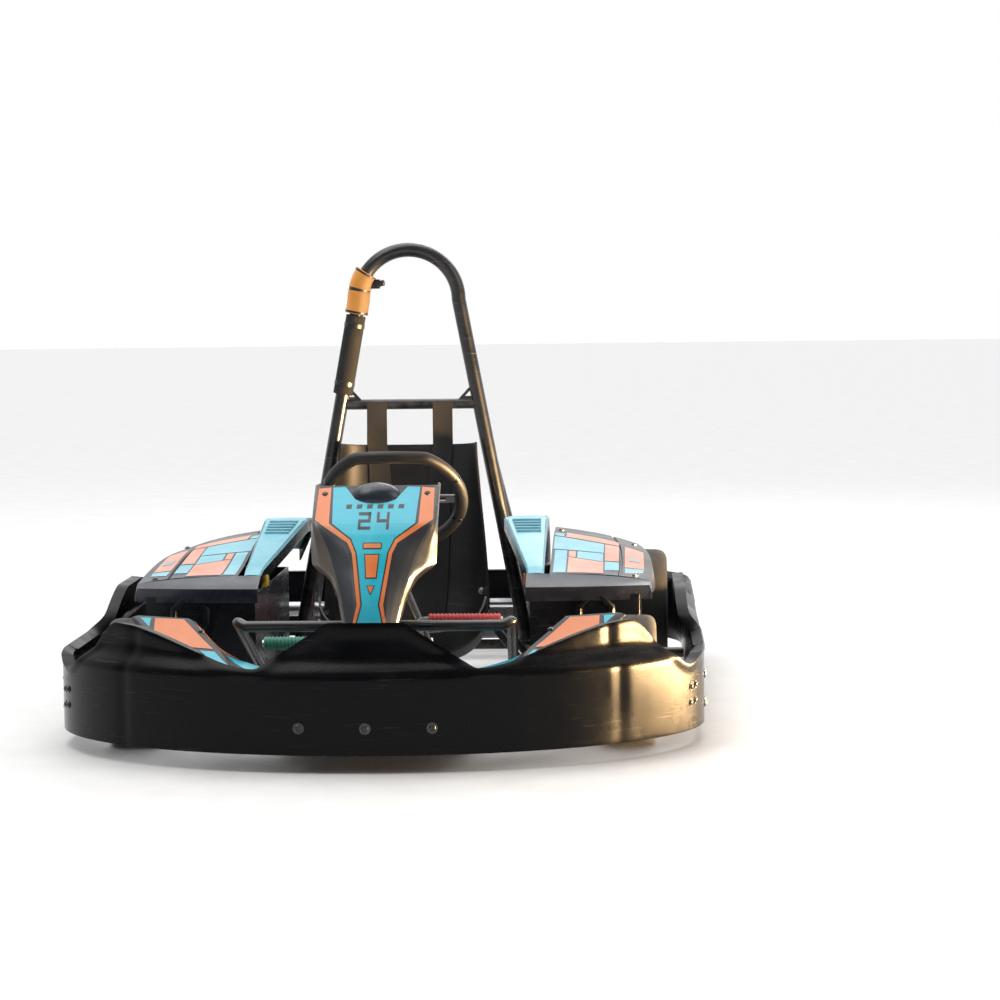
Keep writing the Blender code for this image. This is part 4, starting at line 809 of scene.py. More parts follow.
# ---- stickers
@dataclass(frozen=True)
class Sticker:
    """A film of one colour, cut into convex parts that lie on a surface."""

    name: str
    finish: Finish
    parts: Sequence[Outline]
    lift: float = 0.0004
    wall: float = 0.0005

    def patch(self, outline: Outline, surface: Surface, side: float, cells: float) -> Shape:
        """One convex part: a grid trimmed by the outline's edges and laid on the surface.

        Args:
            outline: its corners in the surface's two coordinates, in order.
            surface: gives a point for two coordinates.
            side: 1 or -1, which way the film lies from the surface.
            cells: the size of a grid cell, in the first coordinate.
        Returns:
            The bmesh.
        """
        low = [min(p[i] for p in outline) for i in range(2)]
        high = [max(p[i] for p in outline) for i in range(2)]
        size = [b - a for a, b in zip(low, high)]
        bm = bmesh.new()
        counts = [max(2, min(40, round(s / cells))) for s in size]
        bmesh.ops.create_grid(bm, x_segments=counts[0], y_segments=counts[1], size=0.5)
        for vert in bm.verts:
            vert.co = (low[0] + (vert.co.x + 0.5) * size[0], low[1] + (vert.co.y + 0.5) * size[1], 0.0)
        middle = Vector([sum(p[i] for p in outline) / len(outline) for i in range(2)] + [0.0])
        for first, second in zip(outline, list(outline[1:]) + [outline[0]]):
            start = Vector((*first, 0.0))
            run = Vector((*second, 0.0)) - start
            away = Vector((run.y, -run.x, 0.0))
            if away.dot(middle - start) > 0:
                away.negate()
            bmesh.ops.bisect_plane(
                bm, geom=bm.verts[:] + bm.edges[:] + bm.faces[:], dist=1e-6, plane_co=start, plane_no=away,
                clear_outer=True)
        step = cells * 0.05
        for vert in bm.verts:
            u, v = vert.co.x, vert.co.y
            spot = surface(u, v)
            normal = (surface(u + step, v) - spot).cross(surface(u, v + step) - spot).normalized() * side
            vert.co = spot + normal * (self.lift + self.wall)
        return bm

    def cut(self, surface: Surface, side: float, cells: float, outward: Vector) -> Shape:
        """All parts as closed thin films.

        Args:
            surface: gives a point for two coordinates.
            side: 1 or -1, which way the film lies from the surface.
            cells: the size of a grid cell.
            outward: where the film looks.
        Returns:
            The bmesh.
        """
        whole = bmesh.new()
        for outline in self.parts:
            part = self.patch(outline, surface, side, cells)
            face_towards(part, outward)
            bmesh.ops.solidify(part, geom=part.faces[:], thickness=self.wall)
            merge(whole, part)
        return whole


def oblong(u0: float, v0: float, u1: float, v1: float) -> list[tuple[float, float]]:
    """The outline of a rectangle between two corners."""
    return [(u0, v0), (u1, v0), (u1, v1), (u0, v1)]


def both_sides(parts: Sequence[Outline]) -> list[Outline]:
    """Outlines and their mirror images in the first coordinate."""
    return [list(part) for part in parts] + [[(-u, v) for u, v in part] for part in parts]


# ---- bumper ring
@dataclass
class BumperRing:
    """The wrap-around bumper: nose, two sides and tail, each a thick moulded wall."""

    shop: Workshop
    wall: float = 0.024
    foot: float = 0.035
    nose_depth: float = 0.42
    seam: float = 0.020
    side_end: float = 1.5597
    low_rim: float = 0.195
    tail_rim: float = 0.200
    tail_radius: float = 0.20
    tail_depth: float = 0.22
    bolt_height: float = 0.088

    def lean(self, height: float) -> float:
        """How far the outer face lies inside its foot at a height."""
        return 0.028 * smooth_step(0.185, 0.225, height) + 0.12 * max(0.0, height - 0.225)

    def nose_rim(self, x: float) -> float:
        """Height of the nose's top edge: plateau, valley, wing and low corner."""
        x = abs(x)
        if x < 0.215:
            return straight([0.288, 0.200], (x - 0.079) / 0.136)
        rise = 0.200 + 0.072 * smooth_step(0.215, 0.535, x)
        return rise - 0.104 * smooth_step(0.535, 0.630, x)

    def rolled(self, share: float) -> float:
        """How far the rolled top edge stands proud of the face."""
        return 0.003 * smooth_step(0.86, 0.97, share)

    def nose(self, across: float, up: float) -> Vector:
        """A point of the nose's outer face.

        Args:
            across: from 0 at the right end to 1 at the left end.
            up: from 0 at its foot to 1 at its rim.
        Returns:
            The point.
        """
        run = 0.02
        end = max(0.0, 1 - min(across, 1 - across) / run)
        angle = (min(max((across - run) / (1 - 2 * run), 0.0), 1.0) - 0.5) * math.pi
        x = HALF_WIDTH * math.sin(angle)
        back = self.nose_depth * (1 - math.cos(angle))
        rim = self.nose_rim(x) + 0.027 * smooth_step(0.29, 0.39, back)
        height = self.foot + (rim - self.foot) * up
        crease = 0.0025 * math.exp(-((abs(x) - 0.49) / 0.012) ** 2)
        inward = Vector((-math.sin(angle), math.cos(angle), 0.0))
        spot = at(x, back, height) + inward * (self.lean(height) + crease - self.rolled(up))
        return spot + Vector((0.0, self.seam * end, 0.0))

    def side_rim(self, back: float) -> float:
        """Height of a side's top edge."""
        rise = self.low_rim + 0.077 * smooth_step(0.640, 0.880, back)
        return rise - 0.072 * smooth_step(1.040, 1.200, back)

    def side(self, sign: int) -> Surface:
        """The outer face of one side."""
        start = self.nose_depth + self.seam + 0.0003

        def surface(across: float, up: float) -> Vector:
            back = start + (self.side_end - start) * across
            height = self.foot + (self.side_rim(back) - self.foot) * up
            return at(sign * (HALF_WIDTH - self.lean(height) + self.rolled(up)), back, height)

        return surface

    def tail(self, across: float, up: float) -> Vector:
        """A point of the tail's outer face, from its right end to its left one."""
        share = min(across, 1 - across)
        sign = -1 if across < 0.5 else 1
        half = HALF_WIDTH - self.tail_radius
        height = self.foot + (self.tail_rim - self.foot) * up
        if share < 0.02:
            x, back = HALF_WIDTH, 1.56 + share
        elif share < 0.20:
            turn = (share - 0.02) / 0.18 * math.pi / 2
            x = half + self.tail_radius * math.cos(turn)
            back = 1.58 + self.tail_depth * math.sin(turn)
        else:
            x = half * (1 - (share - 0.20) / 0.30)
            back = 1.80
        inward = x / HALF_WIDTH * (self.lean(height) - self.rolled(up))
        return at(sign * (x - inward), back, height)

    def bolts(self) -> Shape:
        """Three bolts low on the nose and a cluster near each corner."""
        heads = bmesh.new()
        for across in (0.440, 0.500, 0.560):
            self.add_bolt(heads, across, self.bolt_height, 0.0075)
        for middle in (0.105, 0.895):
            for step, height in ((-0.008, 0.090), (0.008, 0.092), (-0.007, 0.122), (0.009, 0.124)):
                self.add_bolt(heads, middle + step, height, 0.0055)
        return heads

    def add_bolt(self, heads: Shape, across: float, height: float, radius: float) -> None:
        """Adds one bolt to the nose at a height."""
        top = self.nose(across, 1.0).z
        up = (height - self.foot) / (top - self.foot)
        spot = self.nose(across, up)
        run = self.nose(across + 0.002, up) - spot
        merge(heads, bolt(spot, Vector((run.y, -run.x, 0.0)), radius))

    def build(self) -> None:
        """Makes the four walls and their bolts."""
        middle = Vector((0.0, 0.0, 0.12))
        walls = {"front_bumper": (260, 28, self.nose), "left_bumper": (110, 24, self.side(1)),
                 "right_bumper": (110, 24, self.side(-1)), "rear_bumper": (200, 20, self.tail)}
        for node, (across, along, surface) in walls.items():
            bm = new_grid(across, along, surface)
            face_from(bm, middle)
            self.shop.piece("visual_" + node, bm, BUMPER_PLASTIC, "bumper_plastic", [node],
                            wall=self.wall, bevel=0.005, segments=3, closed=False)
        self.shop.piece("bumper_bolts", self.bolts(), FRAME_PAINT, "machined_steel")
        joints = bmesh.new()
        for sign in SIDES.values():
            for back in (0.415, 0.466, 1.535, 1.586):
                for height in (0.070, 0.130):
                    merge(joints, bolt(at(sign * HALF_WIDTH, back, height), Vector((sign, 0, 0)), 0.006))
        self.shop.piece("bumper_seam_bolts", joints, DARK_STEEL, "machined_steel")


# ---- fairings
@dataclass
class FrontFairing:
    """The winged panel behind the nose, with its coloured films."""

    shop: Workshop
    wall: float = 0.004
    widen: float = 0.636 / 0.626
    front: Sequence = ((0.0, 0.050, 0.180), (0.150, 0.056, 0.170), (0.270, 0.090, 0.165),
                       (0.400, 0.190, 0.200), (0.493, 0.299, 0.274))
    ridge: Sequence = ((0.0, 0.130, 0.185), (0.130, 0.135, 0.178), (0.253, 0.164, 0.179),
                       (0.315, 0.225, 0.222), (0.375, 0.284, 0.268))
    rear: Sequence = ((0.0, 0.200, 0.165), (0.120, 0.205, 0.168), (0.202, 0.240, 0.171),
                      (0.300, 0.290, 0.195), (0.365, 0.325, 0.255))

    def spot(self, out: float, along: float) -> Vector:
        """A point of the panel.

        Args:
            out: from -1 at its right tip to 1 at its left tip.
            along: 0 at its front edge, 1 on its ridge, 2 at its rear edge.
        Returns:
            The point.
        """
        line = []
        for row in (self.front, self.ridge, self.rear):
            half = [Vector(point) for point in row]
            whole = [Vector((-p.x, p.y, p.z)) for p in reversed(half[1:])] + half
            line.append(spline(whole, (out + 1) / 2))
        first = 0 if along < 1 else 1
        spot = line[first].lerp(line[first + 1], along - first)
        return at(spot.x * self.widen, spot.y, spot.z)

    def panel(self, across: float, along: float) -> Vector:
        """The panel with its edges rolled down."""
        spot = self.spot(2 * across - 1, 2 * along)
        edge = min(along, 1 - along)
        return spot - Vector((0.0, 0.0, 0.006 * (1 - smooth_step(0.0, 0.06, edge))))

    def build(self) -> None:
        """Makes the panel, its films and its fixings."""
        panel = new_grid(96, 28, self.panel, UP)
        self.shop.piece("visual_front_fairing", panel, INK, "livery_orange", ["front_fairing"],
                        wall=self.wall, bevel=0.0012, closed=False)
        films = (
            Sticker("nose_orange", ORANGE_FILM, both_sides([
                [(0.985, 0.40), (0.985, 0.90), (0.72, 0.90), (0.84, 0.20), (0.91, 0.20)],
                [(0.665, 0.18), (0.50, 0.88), (0.36, 0.88), (0.44, 0.18)],
                [(0.20, 0.12), (0.36, 0.12), (0.29, 0.90), (0.14, 0.90)],
                [(0.95, 1.18), (0.95, 1.75), (0.66, 1.80), (0.70, 1.18)]])),
            Sticker("nose_cyan", CYAN_FILM, both_sides([
                [(0.985, 0.14), (0.985, 0.33), (0.93, 0.16)],
                [(0.815, 0.18), (0.70, 0.88), (0.54, 0.88), (0.70, 0.18)],
                [(0.02, 0.12), (0.17, 0.12), (0.11, 0.90), (0.02, 0.90)],
                [(0.15, 1.18), (0.66, 1.18), (0.62, 1.82), (0.15, 1.82)]])),
        )
        for film in films:
            bm = film.cut(self.spot, 1, 0.02, UP)
            self.shop.piece(film.name, bm, film.finish, "livery_orange")
        heads = bmesh.new()
        for sign in SIDES.values():
            for out, along in ((0.88, 1.05), (0.46, 1.02)):
                merge(heads, bolt(self.spot(sign * out, along), UP, 0.005))
        self.shop.piece("nose_bolts", heads, DARK_STEEL, "machined_steel")


@dataclass
class SteeringFairing:
    """The upright number panel with its neck, shoulders and flanks."""

    shop: Workshop
    wall: float = 0.004
    rows: Sequence = (
        (0.192, 0.086, 0.030, 0.002, 0.048, 0.016, 0.054, 0.040),
        (0.272, 0.122, 0.030, 0.002, 0.050, 0.018, 0.058, 0.045),
        (0.320, 0.150, 0.031, 0.002, 0.062, 0.020, 0.070, 0.055),
        (0.350, 0.170, 0.034, 0.002, 0.072, 0.020, 0.088, 0.064),
        (0.376, 0.188, 0.038, 0.002, 0.082, 0.020, 0.124, 0.060),
        (0.405, 0.206, 0.046, 0.002, 0.092, 0.020, 0.126, 0.048),
        (0.440, 0.232, 0.062, 0.002, 0.110, 0.012, 0.127, 0.032),
        (0.460, 0.250, 0.084, 0.002, 0.119, 0.006, 0.127, 0.028),
        (0.495, 0.296, 0.086, 0.002, 0.121, 0.004, 0.127, 0.030),
        (0.529, 0.342, 0.063, 0.002, 0.122, 0.004, 0.127, 0.034))

    def row(self, z: float) -> list[float]:
        """The panel's section at a height, eased over a few millimetres."""
        total = [0.0] * 7
        for shift in (-0.006, -0.003, 0.0, 0.003, 0.006):
            spot = min(max(z + shift, self.rows[0][0]), self.rows[-1][0])
            index = max(i for i in range(len(self.rows) - 1) if self.rows[i][0] <= spot)
            low, high = self.rows[index], self.rows[index + 1]
            share = (spot - low[0]) / (high[0] - low[0])
            total = [t + (a + (b - a) * share) / 5 for t, a, b in zip(total, low[1:], high[1:])]
        return total

    def face(self, x: float, z: float) -> Vector:
        """The point of the front face at an X and a height."""
        back, *edges = self.row(z)
        stops = [(0.0, 0.0), (edges[0], edges[1]), (edges[2], edges[3]), (edges[4], edges[5])]
        for (x0, y0), (x1, y1) in zip(stops, stops[1:]):
            if abs(x) <= x1 or x1 == edges[4]:
                share = min(max((abs(x) - x0) / (x1 - x0), 0.0), 1.0)
                return at(x, back + y0 + (y1 - y0) * share, z)
        return at(x, back, z)

    def panel(self, across: float, up: float) -> Vector:
        """The whole panel: face, shoulders, flanks and the flange behind them."""
        low, high = self.rows[0][0], self.rows[-1][0]
        z = low + (high - low) * up
        back, *edges = self.row(z)
        out = 2 * across - 1
        flange = 0.010 + 0.022 * smooth_step(0.36, 0.42, z)
        xs = [0.0, edges[0] / 2, edges[0], (edges[0] + edges[2]) / 2, edges[2],
              (edges[2] + edges[4]) / 2 + 0.002, edges[4], edges[4] - 0.004]
        steps = [0.0, edges[1] / 3, edges[1], (edges[1] + edges[3]) / 2 - 0.001, edges[3],
                 (edges[3] + edges[5]) / 2 - 0.003, edges[5], edges[5] + flange]
        return at(math.copysign(straight(xs, abs(out)), out), back + straight(steps, abs(out)), z)

    def digit(self, middle: float, strokes: str) -> list[Outline]:
        """A blocky digit made of straight strokes.

        Args:
            middle: its X, as a driver facing the panel from the front reads it.
            strokes: which of its seven strokes are there, a to g.
        Returns:
            The strokes as outlines of (X, height).
        """
        half, low, high, thick = 0.0125, 0.4485, 0.4795, 0.0052
        centre = (low + high) / 2
        boxes = {"a": (-half, high - thick, half, high), "d": (-half, low, half, low + thick),
                 "g": (-half, centre - thick / 2, half, centre + thick / 2),
                 "f": (-half, centre, -half + thick, high), "b": (half - thick, centre, half, high),
                 "e": (-half, low, -half + thick, centre), "c": (half - thick, low, half, centre)}
        return [oblong(middle + x0, z0, middle + x1, z1)
                for x0, z0, x1, z1 in (boxes[name] for name in strokes)]

    def build(self) -> None:
        """Makes the panel, its films, the dome on top and its fixings."""
        ahead = Vector((0.0, -1.0, 0.35))
        panel = new_grid(56, 72, self.panel, ahead)
        # Faces out past the shoulders are the flanks. They take material 1, the painted bronze reflection.
        for face in panel.faces:
            middle = face.calc_center_median()
            edge = self.row(middle.z)[3]
            face.material_index = 1 if abs(middle.x) > edge - 0.004 else 0
        self.shop.piece("visual_steering_fairing", panel, [INK, FLANK_PAINTED_REFLECTION], "livery_cyan",
                        ["steering_fairing"], wall=self.wall, bevel=0.0015, closed=False)
        cyan = [[(0.040, 0.502), (0.0861, 0.502), (0.088, 0.525), (0.063, 0.526)],
                [(0.0, 0.460), (0.083, 0.460), (0.0861, 0.502), (0.0, 0.502)],
                [(0.0, 0.432), (0.043, 0.432), (0.083, 0.460), (0.0, 0.460)],
                [(0.0, 0.405), (0.030, 0.405), (0.043, 0.432), (0.0, 0.432)],
                [(0.0, 0.309), (0.0155, 0.309), (0.030, 0.405), (0.0, 0.405)],
                [(0.0, 0.272), (0.0245, 0.272), (0.0155, 0.309), (0.0, 0.309)],
                [(0.0, 0.215), (0.026, 0.215), (0.0245, 0.272), (0.0, 0.272)]]
        orange = [[(0.0895, 0.459), (0.118, 0.466), (0.117, 0.523), (0.092, 0.525)],
                  [(0.045, 0.430), (0.050, 0.424), (0.118, 0.466), (0.0885, 0.459)],
                  [(0.033, 0.405), (0.040, 0.404), (0.050, 0.424), (0.045, 0.430)],
                  [(0.0185, 0.309), (0.026, 0.309), (0.040, 0.404), (0.033, 0.405)],
                  [(0.0275, 0.272), (0.033, 0.272), (0.026, 0.309), (0.0185, 0.309)]]
        inlay = [oblong(-0.017, 0.414, 0.017, 0.422),
                 [(-0.0093, 0.359), (0.0093, 0.359), (0.013, 0.401), (-0.013, 0.401)],
                 [(0.0, 0.330), (0.0063, 0.343), (-0.0063, 0.343)]]
        border = [oblong(-0.019, 0.412, 0.019, 0.424),
                  [(-0.0115, 0.357), (0.0115, 0.357), (0.0152, 0.403), (-0.0152, 0.403)],
                  [(0.0, 0.326), (0.0085, 0.3445), (-0.0085, 0.3445)]]
        marks = self.digit(-0.0185, "abged") + self.digit(0.0185, "fgbc")
        marks += [[(x - 0.0055, 0.4865), (x + 0.0055, 0.4865), (x + 0.0065, 0.4935), (x - 0.0045, 0.4935)]
                  for x in (-0.0525, -0.0315, -0.0105, 0.0105, 0.0315, 0.0525)]
        films = (Sticker("number_cyan", CYAN_FILM, both_sides(cyan)),
                 Sticker("number_orange", ORANGE_FILM, both_sides(orange)),
                 Sticker("number_border", INK, border + marks, lift=0.0010),
                 Sticker("number_inlay", ORANGE_FILM, inlay, lift=0.0016))
        for film in films:
            bm = film.cut(self.face, 1, 0.004, ahead)
            self.shop.piece(film.name, bm, film.finish, "livery_cyan")
        dome = bmesh.new()
        bmesh.ops.create_uvsphere(dome, u_segments=40, v_segments=24, radius=1.0)
        place = Matrix.Translation(at(0.0, 0.332, 0.500)) @ Matrix.Diagonal((0.055, 0.036, 0.036, 1.0))
        bmesh.ops.transform(dome, matrix=place, verts=dome.verts)
        self.shop.piece("panel_dome", dome, SLATE_PLASTIC, "dark_plastic")
        heads = bmesh.new()
        for sign in SIDES.values():
            merge(heads, bolt(self.face(sign * 0.1035, 0.512), ahead, 0.0045))
            merge(heads, bolt(self.face(sign * 0.040, 0.232), ahead, 0.0045))
        self.shop.piece("panel_bolts", heads, DARK_STEEL, "machined_steel")


# ---- pods
@dataclass
class Pod:
    """One battery pod: box, battery, deck, films and the louvred hip cover."""

    shop: Workshop
    side: str
    start: float = 0.655
    length: float = 0.600
    inner: float = 0.295
    top: float = 0.268
    skirt: float = 0.2695
    cover_inner: float = 0.337
    wall: float = 0.004
    sign: int = field(init=False)

    def __post_init__(self) -> None:
        self.sign = SIDES[self.side]

    def edge(self, back: float) -> float:
        """X of the deck's outer edge."""
        return 0.560 - 0.016 * (2 * (back - self.start) / self.length - 0.7) ** 2

    def height(self, share: float, back: float) -> float:
        """Height of the deck."""
        rise = 0.048 * smooth_step(0.0, 0.80, (back - self.start) / self.length)
        return self.top + 0.040 + rise * (1 - 0.55 * share) - 0.016 * max(share, 0.0) ** 3

    def deck(self, x: float, back: float) -> Vector:
        """A point of the deck at a distance from the middle plane and behind the nose."""
        share = (x - self.cover_inner) / (self.edge(back) - self.cover_inner)
        return at(self.sign * x, back, self.height(share, back))

    def cover(self, across: float, along: float) -> Vector:
        """The whole cover: front band, step, deck with a seam groove, and skirts."""
        backs = [0.0, 0.0, 0.018, 0.036, 0.055, 0.0552, 0.063]
        lip = 0.030
        row = round(along * 60)
        column = round(across * 24)
        shares = [0.0, 0.02, 0.06, 0.12, 0.19, 0.26, 0.33, 0.40, 0.47, 0.54, 0.60, 0.655, 0.672, 0.680, 0.697,
                  0.705, 0.73, 0.78, 0.84, 0.89, 0.94, 0.98, 1.0, 1.0, 1.0]
        share = shares[column]
        start, end = 0.635, 1.275
        deck_rows = 60 - len(backs) - 2
        index = min(max(row - len(backs), 0), deck_rows)
        back = start + 0.063 + (end - start - 0.063) * index / deck_rows
        if row < len(backs):
            back = start + backs[row]
        edge = self.edge(back)
        inner = 0.287 if row < 5 else self.cover_inner
        x = inner + (edge - inner) * share
        z = self.height(share, back)
        if row < 5:
            lean = min(1.0, 1 - (row - 1) / 3)
            back += 0.028 * share ** 2 * lean
            z = z + (self.top + 0.018 - z) * lean ** 0.8 - (lip if row == 0 else 0.0)
        elif 13 <= column <= 14:
            z -= 0.004
        if row > 58:
            z = z + (self.skirt - z) * (row - 58) / 2
            back += 0.1 / 60
        if column > 22:
            drop = (column - 22) / 2
            x = edge + 0.006 * drop
            z = z + (min(self.skirt, z) - z) * drop
        return at(self.sign * x, min(back, end), z)

    def hip_row(self, along: float) -> tuple[float, float, float]:
        """The hip cover's distance back, height and inner X."""
        outline = [Vector((0.289, 0.704, 0.308)), Vector((0.285, 0.734, 0.320)),
                   Vector((0.225, 1.063, 0.398)), Vector((0.223, 1.163, 0.392)),
                   Vector((0.265, 1.255, 0.313))]
        lengths = [0.0, 0.08, 0.68, 0.86, 1.0]
        index = max(i for i in range(4) if lengths[i] <= min(along, 0.999))
        share = (along - lengths[index]) / (lengths[index + 1] - lengths[index])
        spot = outline[index].lerp(outline[index + 1], share)
        return spot.y, spot.z, spot.x

    def hip(self, across: float, along: float) -> Vector:
        """The hip cover: outer wall, crowned top and inner wall."""
        back, top, inner = self.hip_row(along)
        xs = [0.325, 0.325, 0.322, 0.325 + (inner - 0.325) * 0.35, 0.325 + (inner - 0.325) * 0.70,
              inner + 0.003, inner, inner]
        drop = max(self.skirt, top - 0.030)
        zs = [self.skirt, top - 0.004, top, top + 0.001, top + 0.0005, top, top - 0.004, drop]
        return at(self.sign * straight(xs, across), back, straight(zs, across))

    def top_of_hip(self, share: float, along: float) -> Vector:
        """A point of the hip cover's top, from its outer edge to its inner one."""
        back, top, inner = self.hip_row(along)
        return at(self.sign * (0.322 + (inner - 0.319) * share), back, top + 0.001)

    def hip_cover(self) -> None:
        """Makes the hip cover, its louvres and its films."""
        bm = new_grid(28, 72, self.hip, UP)
        for face in bm.faces:
            face.material_index = 1 if abs(face.normal.z) < 0.45 else 0
        self.shop.piece(
            f"visual_{self.side}_hip_cover", bm, [FADED_CYAN, DARK_PLASTIC], "livery_cyan",
            [self.side + "_hip_cover"], wall=self.wall, bevel=0.002, closed=False)
        louvres = bmesh.new()
        slots = bmesh.new()
        for step in range(5):
            along = 0.500 + 0.034 * step
            first, second = self.top_of_hip(0.14, along), self.top_of_hip(0.86, along)
            for holder, radius, shift in ((louvres, 0.0042, 0.0), (slots, 0.0030, 0.0095)):
                move = Vector((0.0, shift, 0.0006))
                merge(holder, tube_mesh([first + move, second + move], radius, rings=3))
        self.shop.piece(self.side + "_louvres", louvres, FADED_CYAN, "livery_cyan")
        self.shop.piece(self.side + "_louvre_slots", slots, INK, "dark_plastic")
        films = (Sticker("hip_edge", INK, [oblong(0.0, 0.03, 0.10, 0.98),
                                           oblong(0.90, 0.03, 1.0, 0.98)]),
                 Sticker("hip_line", FADED_ORANGE, [oblong(0.12, 0.455, 0.88, 0.470),
                                                    oblong(0.12, 0.06, 0.88, 0.085)]))
        for film in films:
            bm = film.cut(self.top_of_hip, self.sign, 0.03, UP)
            self.shop.piece(f"{self.side}_{film.name}", bm, film.finish, "livery_cyan")

    def films(self) -> tuple[Sticker, ...]:
        """The deck's coloured films, as outlines of (X, distance back)."""
        cyan = [oblong(0.344, 0.703, 0.371, 0.925),
                [(0.455, 0.745), (0.486, 0.757), (0.486, 0.850), (0.455, 0.842)],
                [(0.340, 0.932), (0.452, 0.932), (0.452, 1.040), (0.340, 1.068)],
                [(0.340, 1.078), (0.361, 1.073), (0.361, 1.125), (0.340, 1.125)]]
        orange = [[(0.375, 0.703), (0.452, 0.703), (0.452, 0.835), (0.375, 0.866)],
                  [(0.375, 0.870), (0.390, 0.866), (0.390, 0.925), (0.375, 0.925)],
                  [(0.455, 0.852), (0.486, 0.860), (0.486, 1.040), (0.455, 1.040)],
                  [(0.366, 1.072), (0.452, 1.050), (0.486, 1.050), (0.486, 1.115), (0.366, 1.155)],
                  [(0.499, 0.800), (0.541, 0.815), (0.541, 1.045), (0.499, 1.060)]]
        pale = [[(0.508, 0.880), (0.532, 0.884), (0.532, 0.925), (0.508, 0.922)]]
        outer = [[(0.499, 0.735), (0.538, 0.765), (0.541, 0.808), (0.499, 0.792)],
                 [(0.394, 0.862), (0.451, 0.840), (0.451, 0.925), (0.394, 0.925)]]
        return (Sticker("deck_cyan", FADED_CYAN, cyan + outer), Sticker("deck_orange", FADED_ORANGE, orange),
                Sticker("deck_pale", GREY_FILM, pale, lift=0.0012))

    def box_details(self) -> Shape:
        """Ribs on the box's outer side and a recessed plate on its front."""
        x = self.sign * (self.inner + 0.235)
        extra = bmesh.new()
        for step in range(6):
            back = self.start + 0.060 + 0.095 * step
            merge(
                extra, block((x - 0.002, back - HALF_LENGTH, 0.10), (x + self.sign * 0.004,
                back - HALF_LENGTH + 0.006, 0.262), 0.0012))
        face = at(self.sign * 0.435, self.start, 0.226)
        profile = [(0.030, 0.0), (0.046, 0.0), (0.046, 0.007), (0.041, 0.010), (0.034, 0.010), (0.030, 0.004)]
        turn = facing(face, Vector((0, -1, 0))) @ Matrix.Rotation(math.pi / 8, 4, "Z")
        merge(extra, turned(profile, turn, 8))
        return merge(extra, turned(oblong(0.0, 0.0, 0.0298, 0.003), turn, 8, closed=False))

    def bay_parts(self) -> None:
        """Makes the service plug that shows between the deck and the seat."""
        low = at(self.sign * 0.289, 0.745, 0.278)
        plug = block(low - Vector((0.010, 0.0, 0.0)), low + Vector((0.010, 0.030, 0.026)), 0.003)
        finish = YELLOW_CAP if self.side == "right" else ORANGE_FILM
        self.shop.piece(self.side + "_service_plug", plug, finish, "dark_plastic")

    def build(self) -> None:
        """Makes the whole pod."""
        side = self.side
        self.shop.refine(side + "_battery_box", DARK_PLASTIC, "dark_plastic", 0.003, self.box_details())
        posts = bmesh.new()
        for back in (0.80, 1.10):
            post = at(self.sign * 0.41, back, self.top - 0.031)
            merge(posts, rod(post, post + Vector((0, 0, 0.014)), 0.010, 0.002))
        self.shop.refine(side + "_battery_pack", CAST_ALLOY, "battery_case", 0.003, posts)
        bm = new_grid(24, 60, self.cover, UP)
        for face in bm.faces:
            middle = face.calc_center_median()
            face.material_index = 1 if middle.y < at(0, 0.691, 0).y else 0
        self.shop.piece(f"visual_{side}_pod_cover", bm, [INK, SLATE_PLASTIC], "livery_cyan",
                        [side + "_pod_cover"], wall=self.wall, bevel=0.004, segments=3, closed=False)
        for film in self.films():
            cut = film.cut(self.deck, self.sign, 0.008, UP)
            self.shop.piece(f"{side}_{film.name}", cut, film.finish, "livery_cyan")
        heads = bmesh.new()
        for x, back in ((0.352, 1.20), (0.520, 1.17), (0.520, 0.715)):
            merge(heads, bolt(self.deck(x, back), UP, 0.0055))
        self.shop.piece(side + "_deck_bolts", heads, DARK_STEEL, "machined_steel")
        self.hip_cover()
        self.bay_parts()


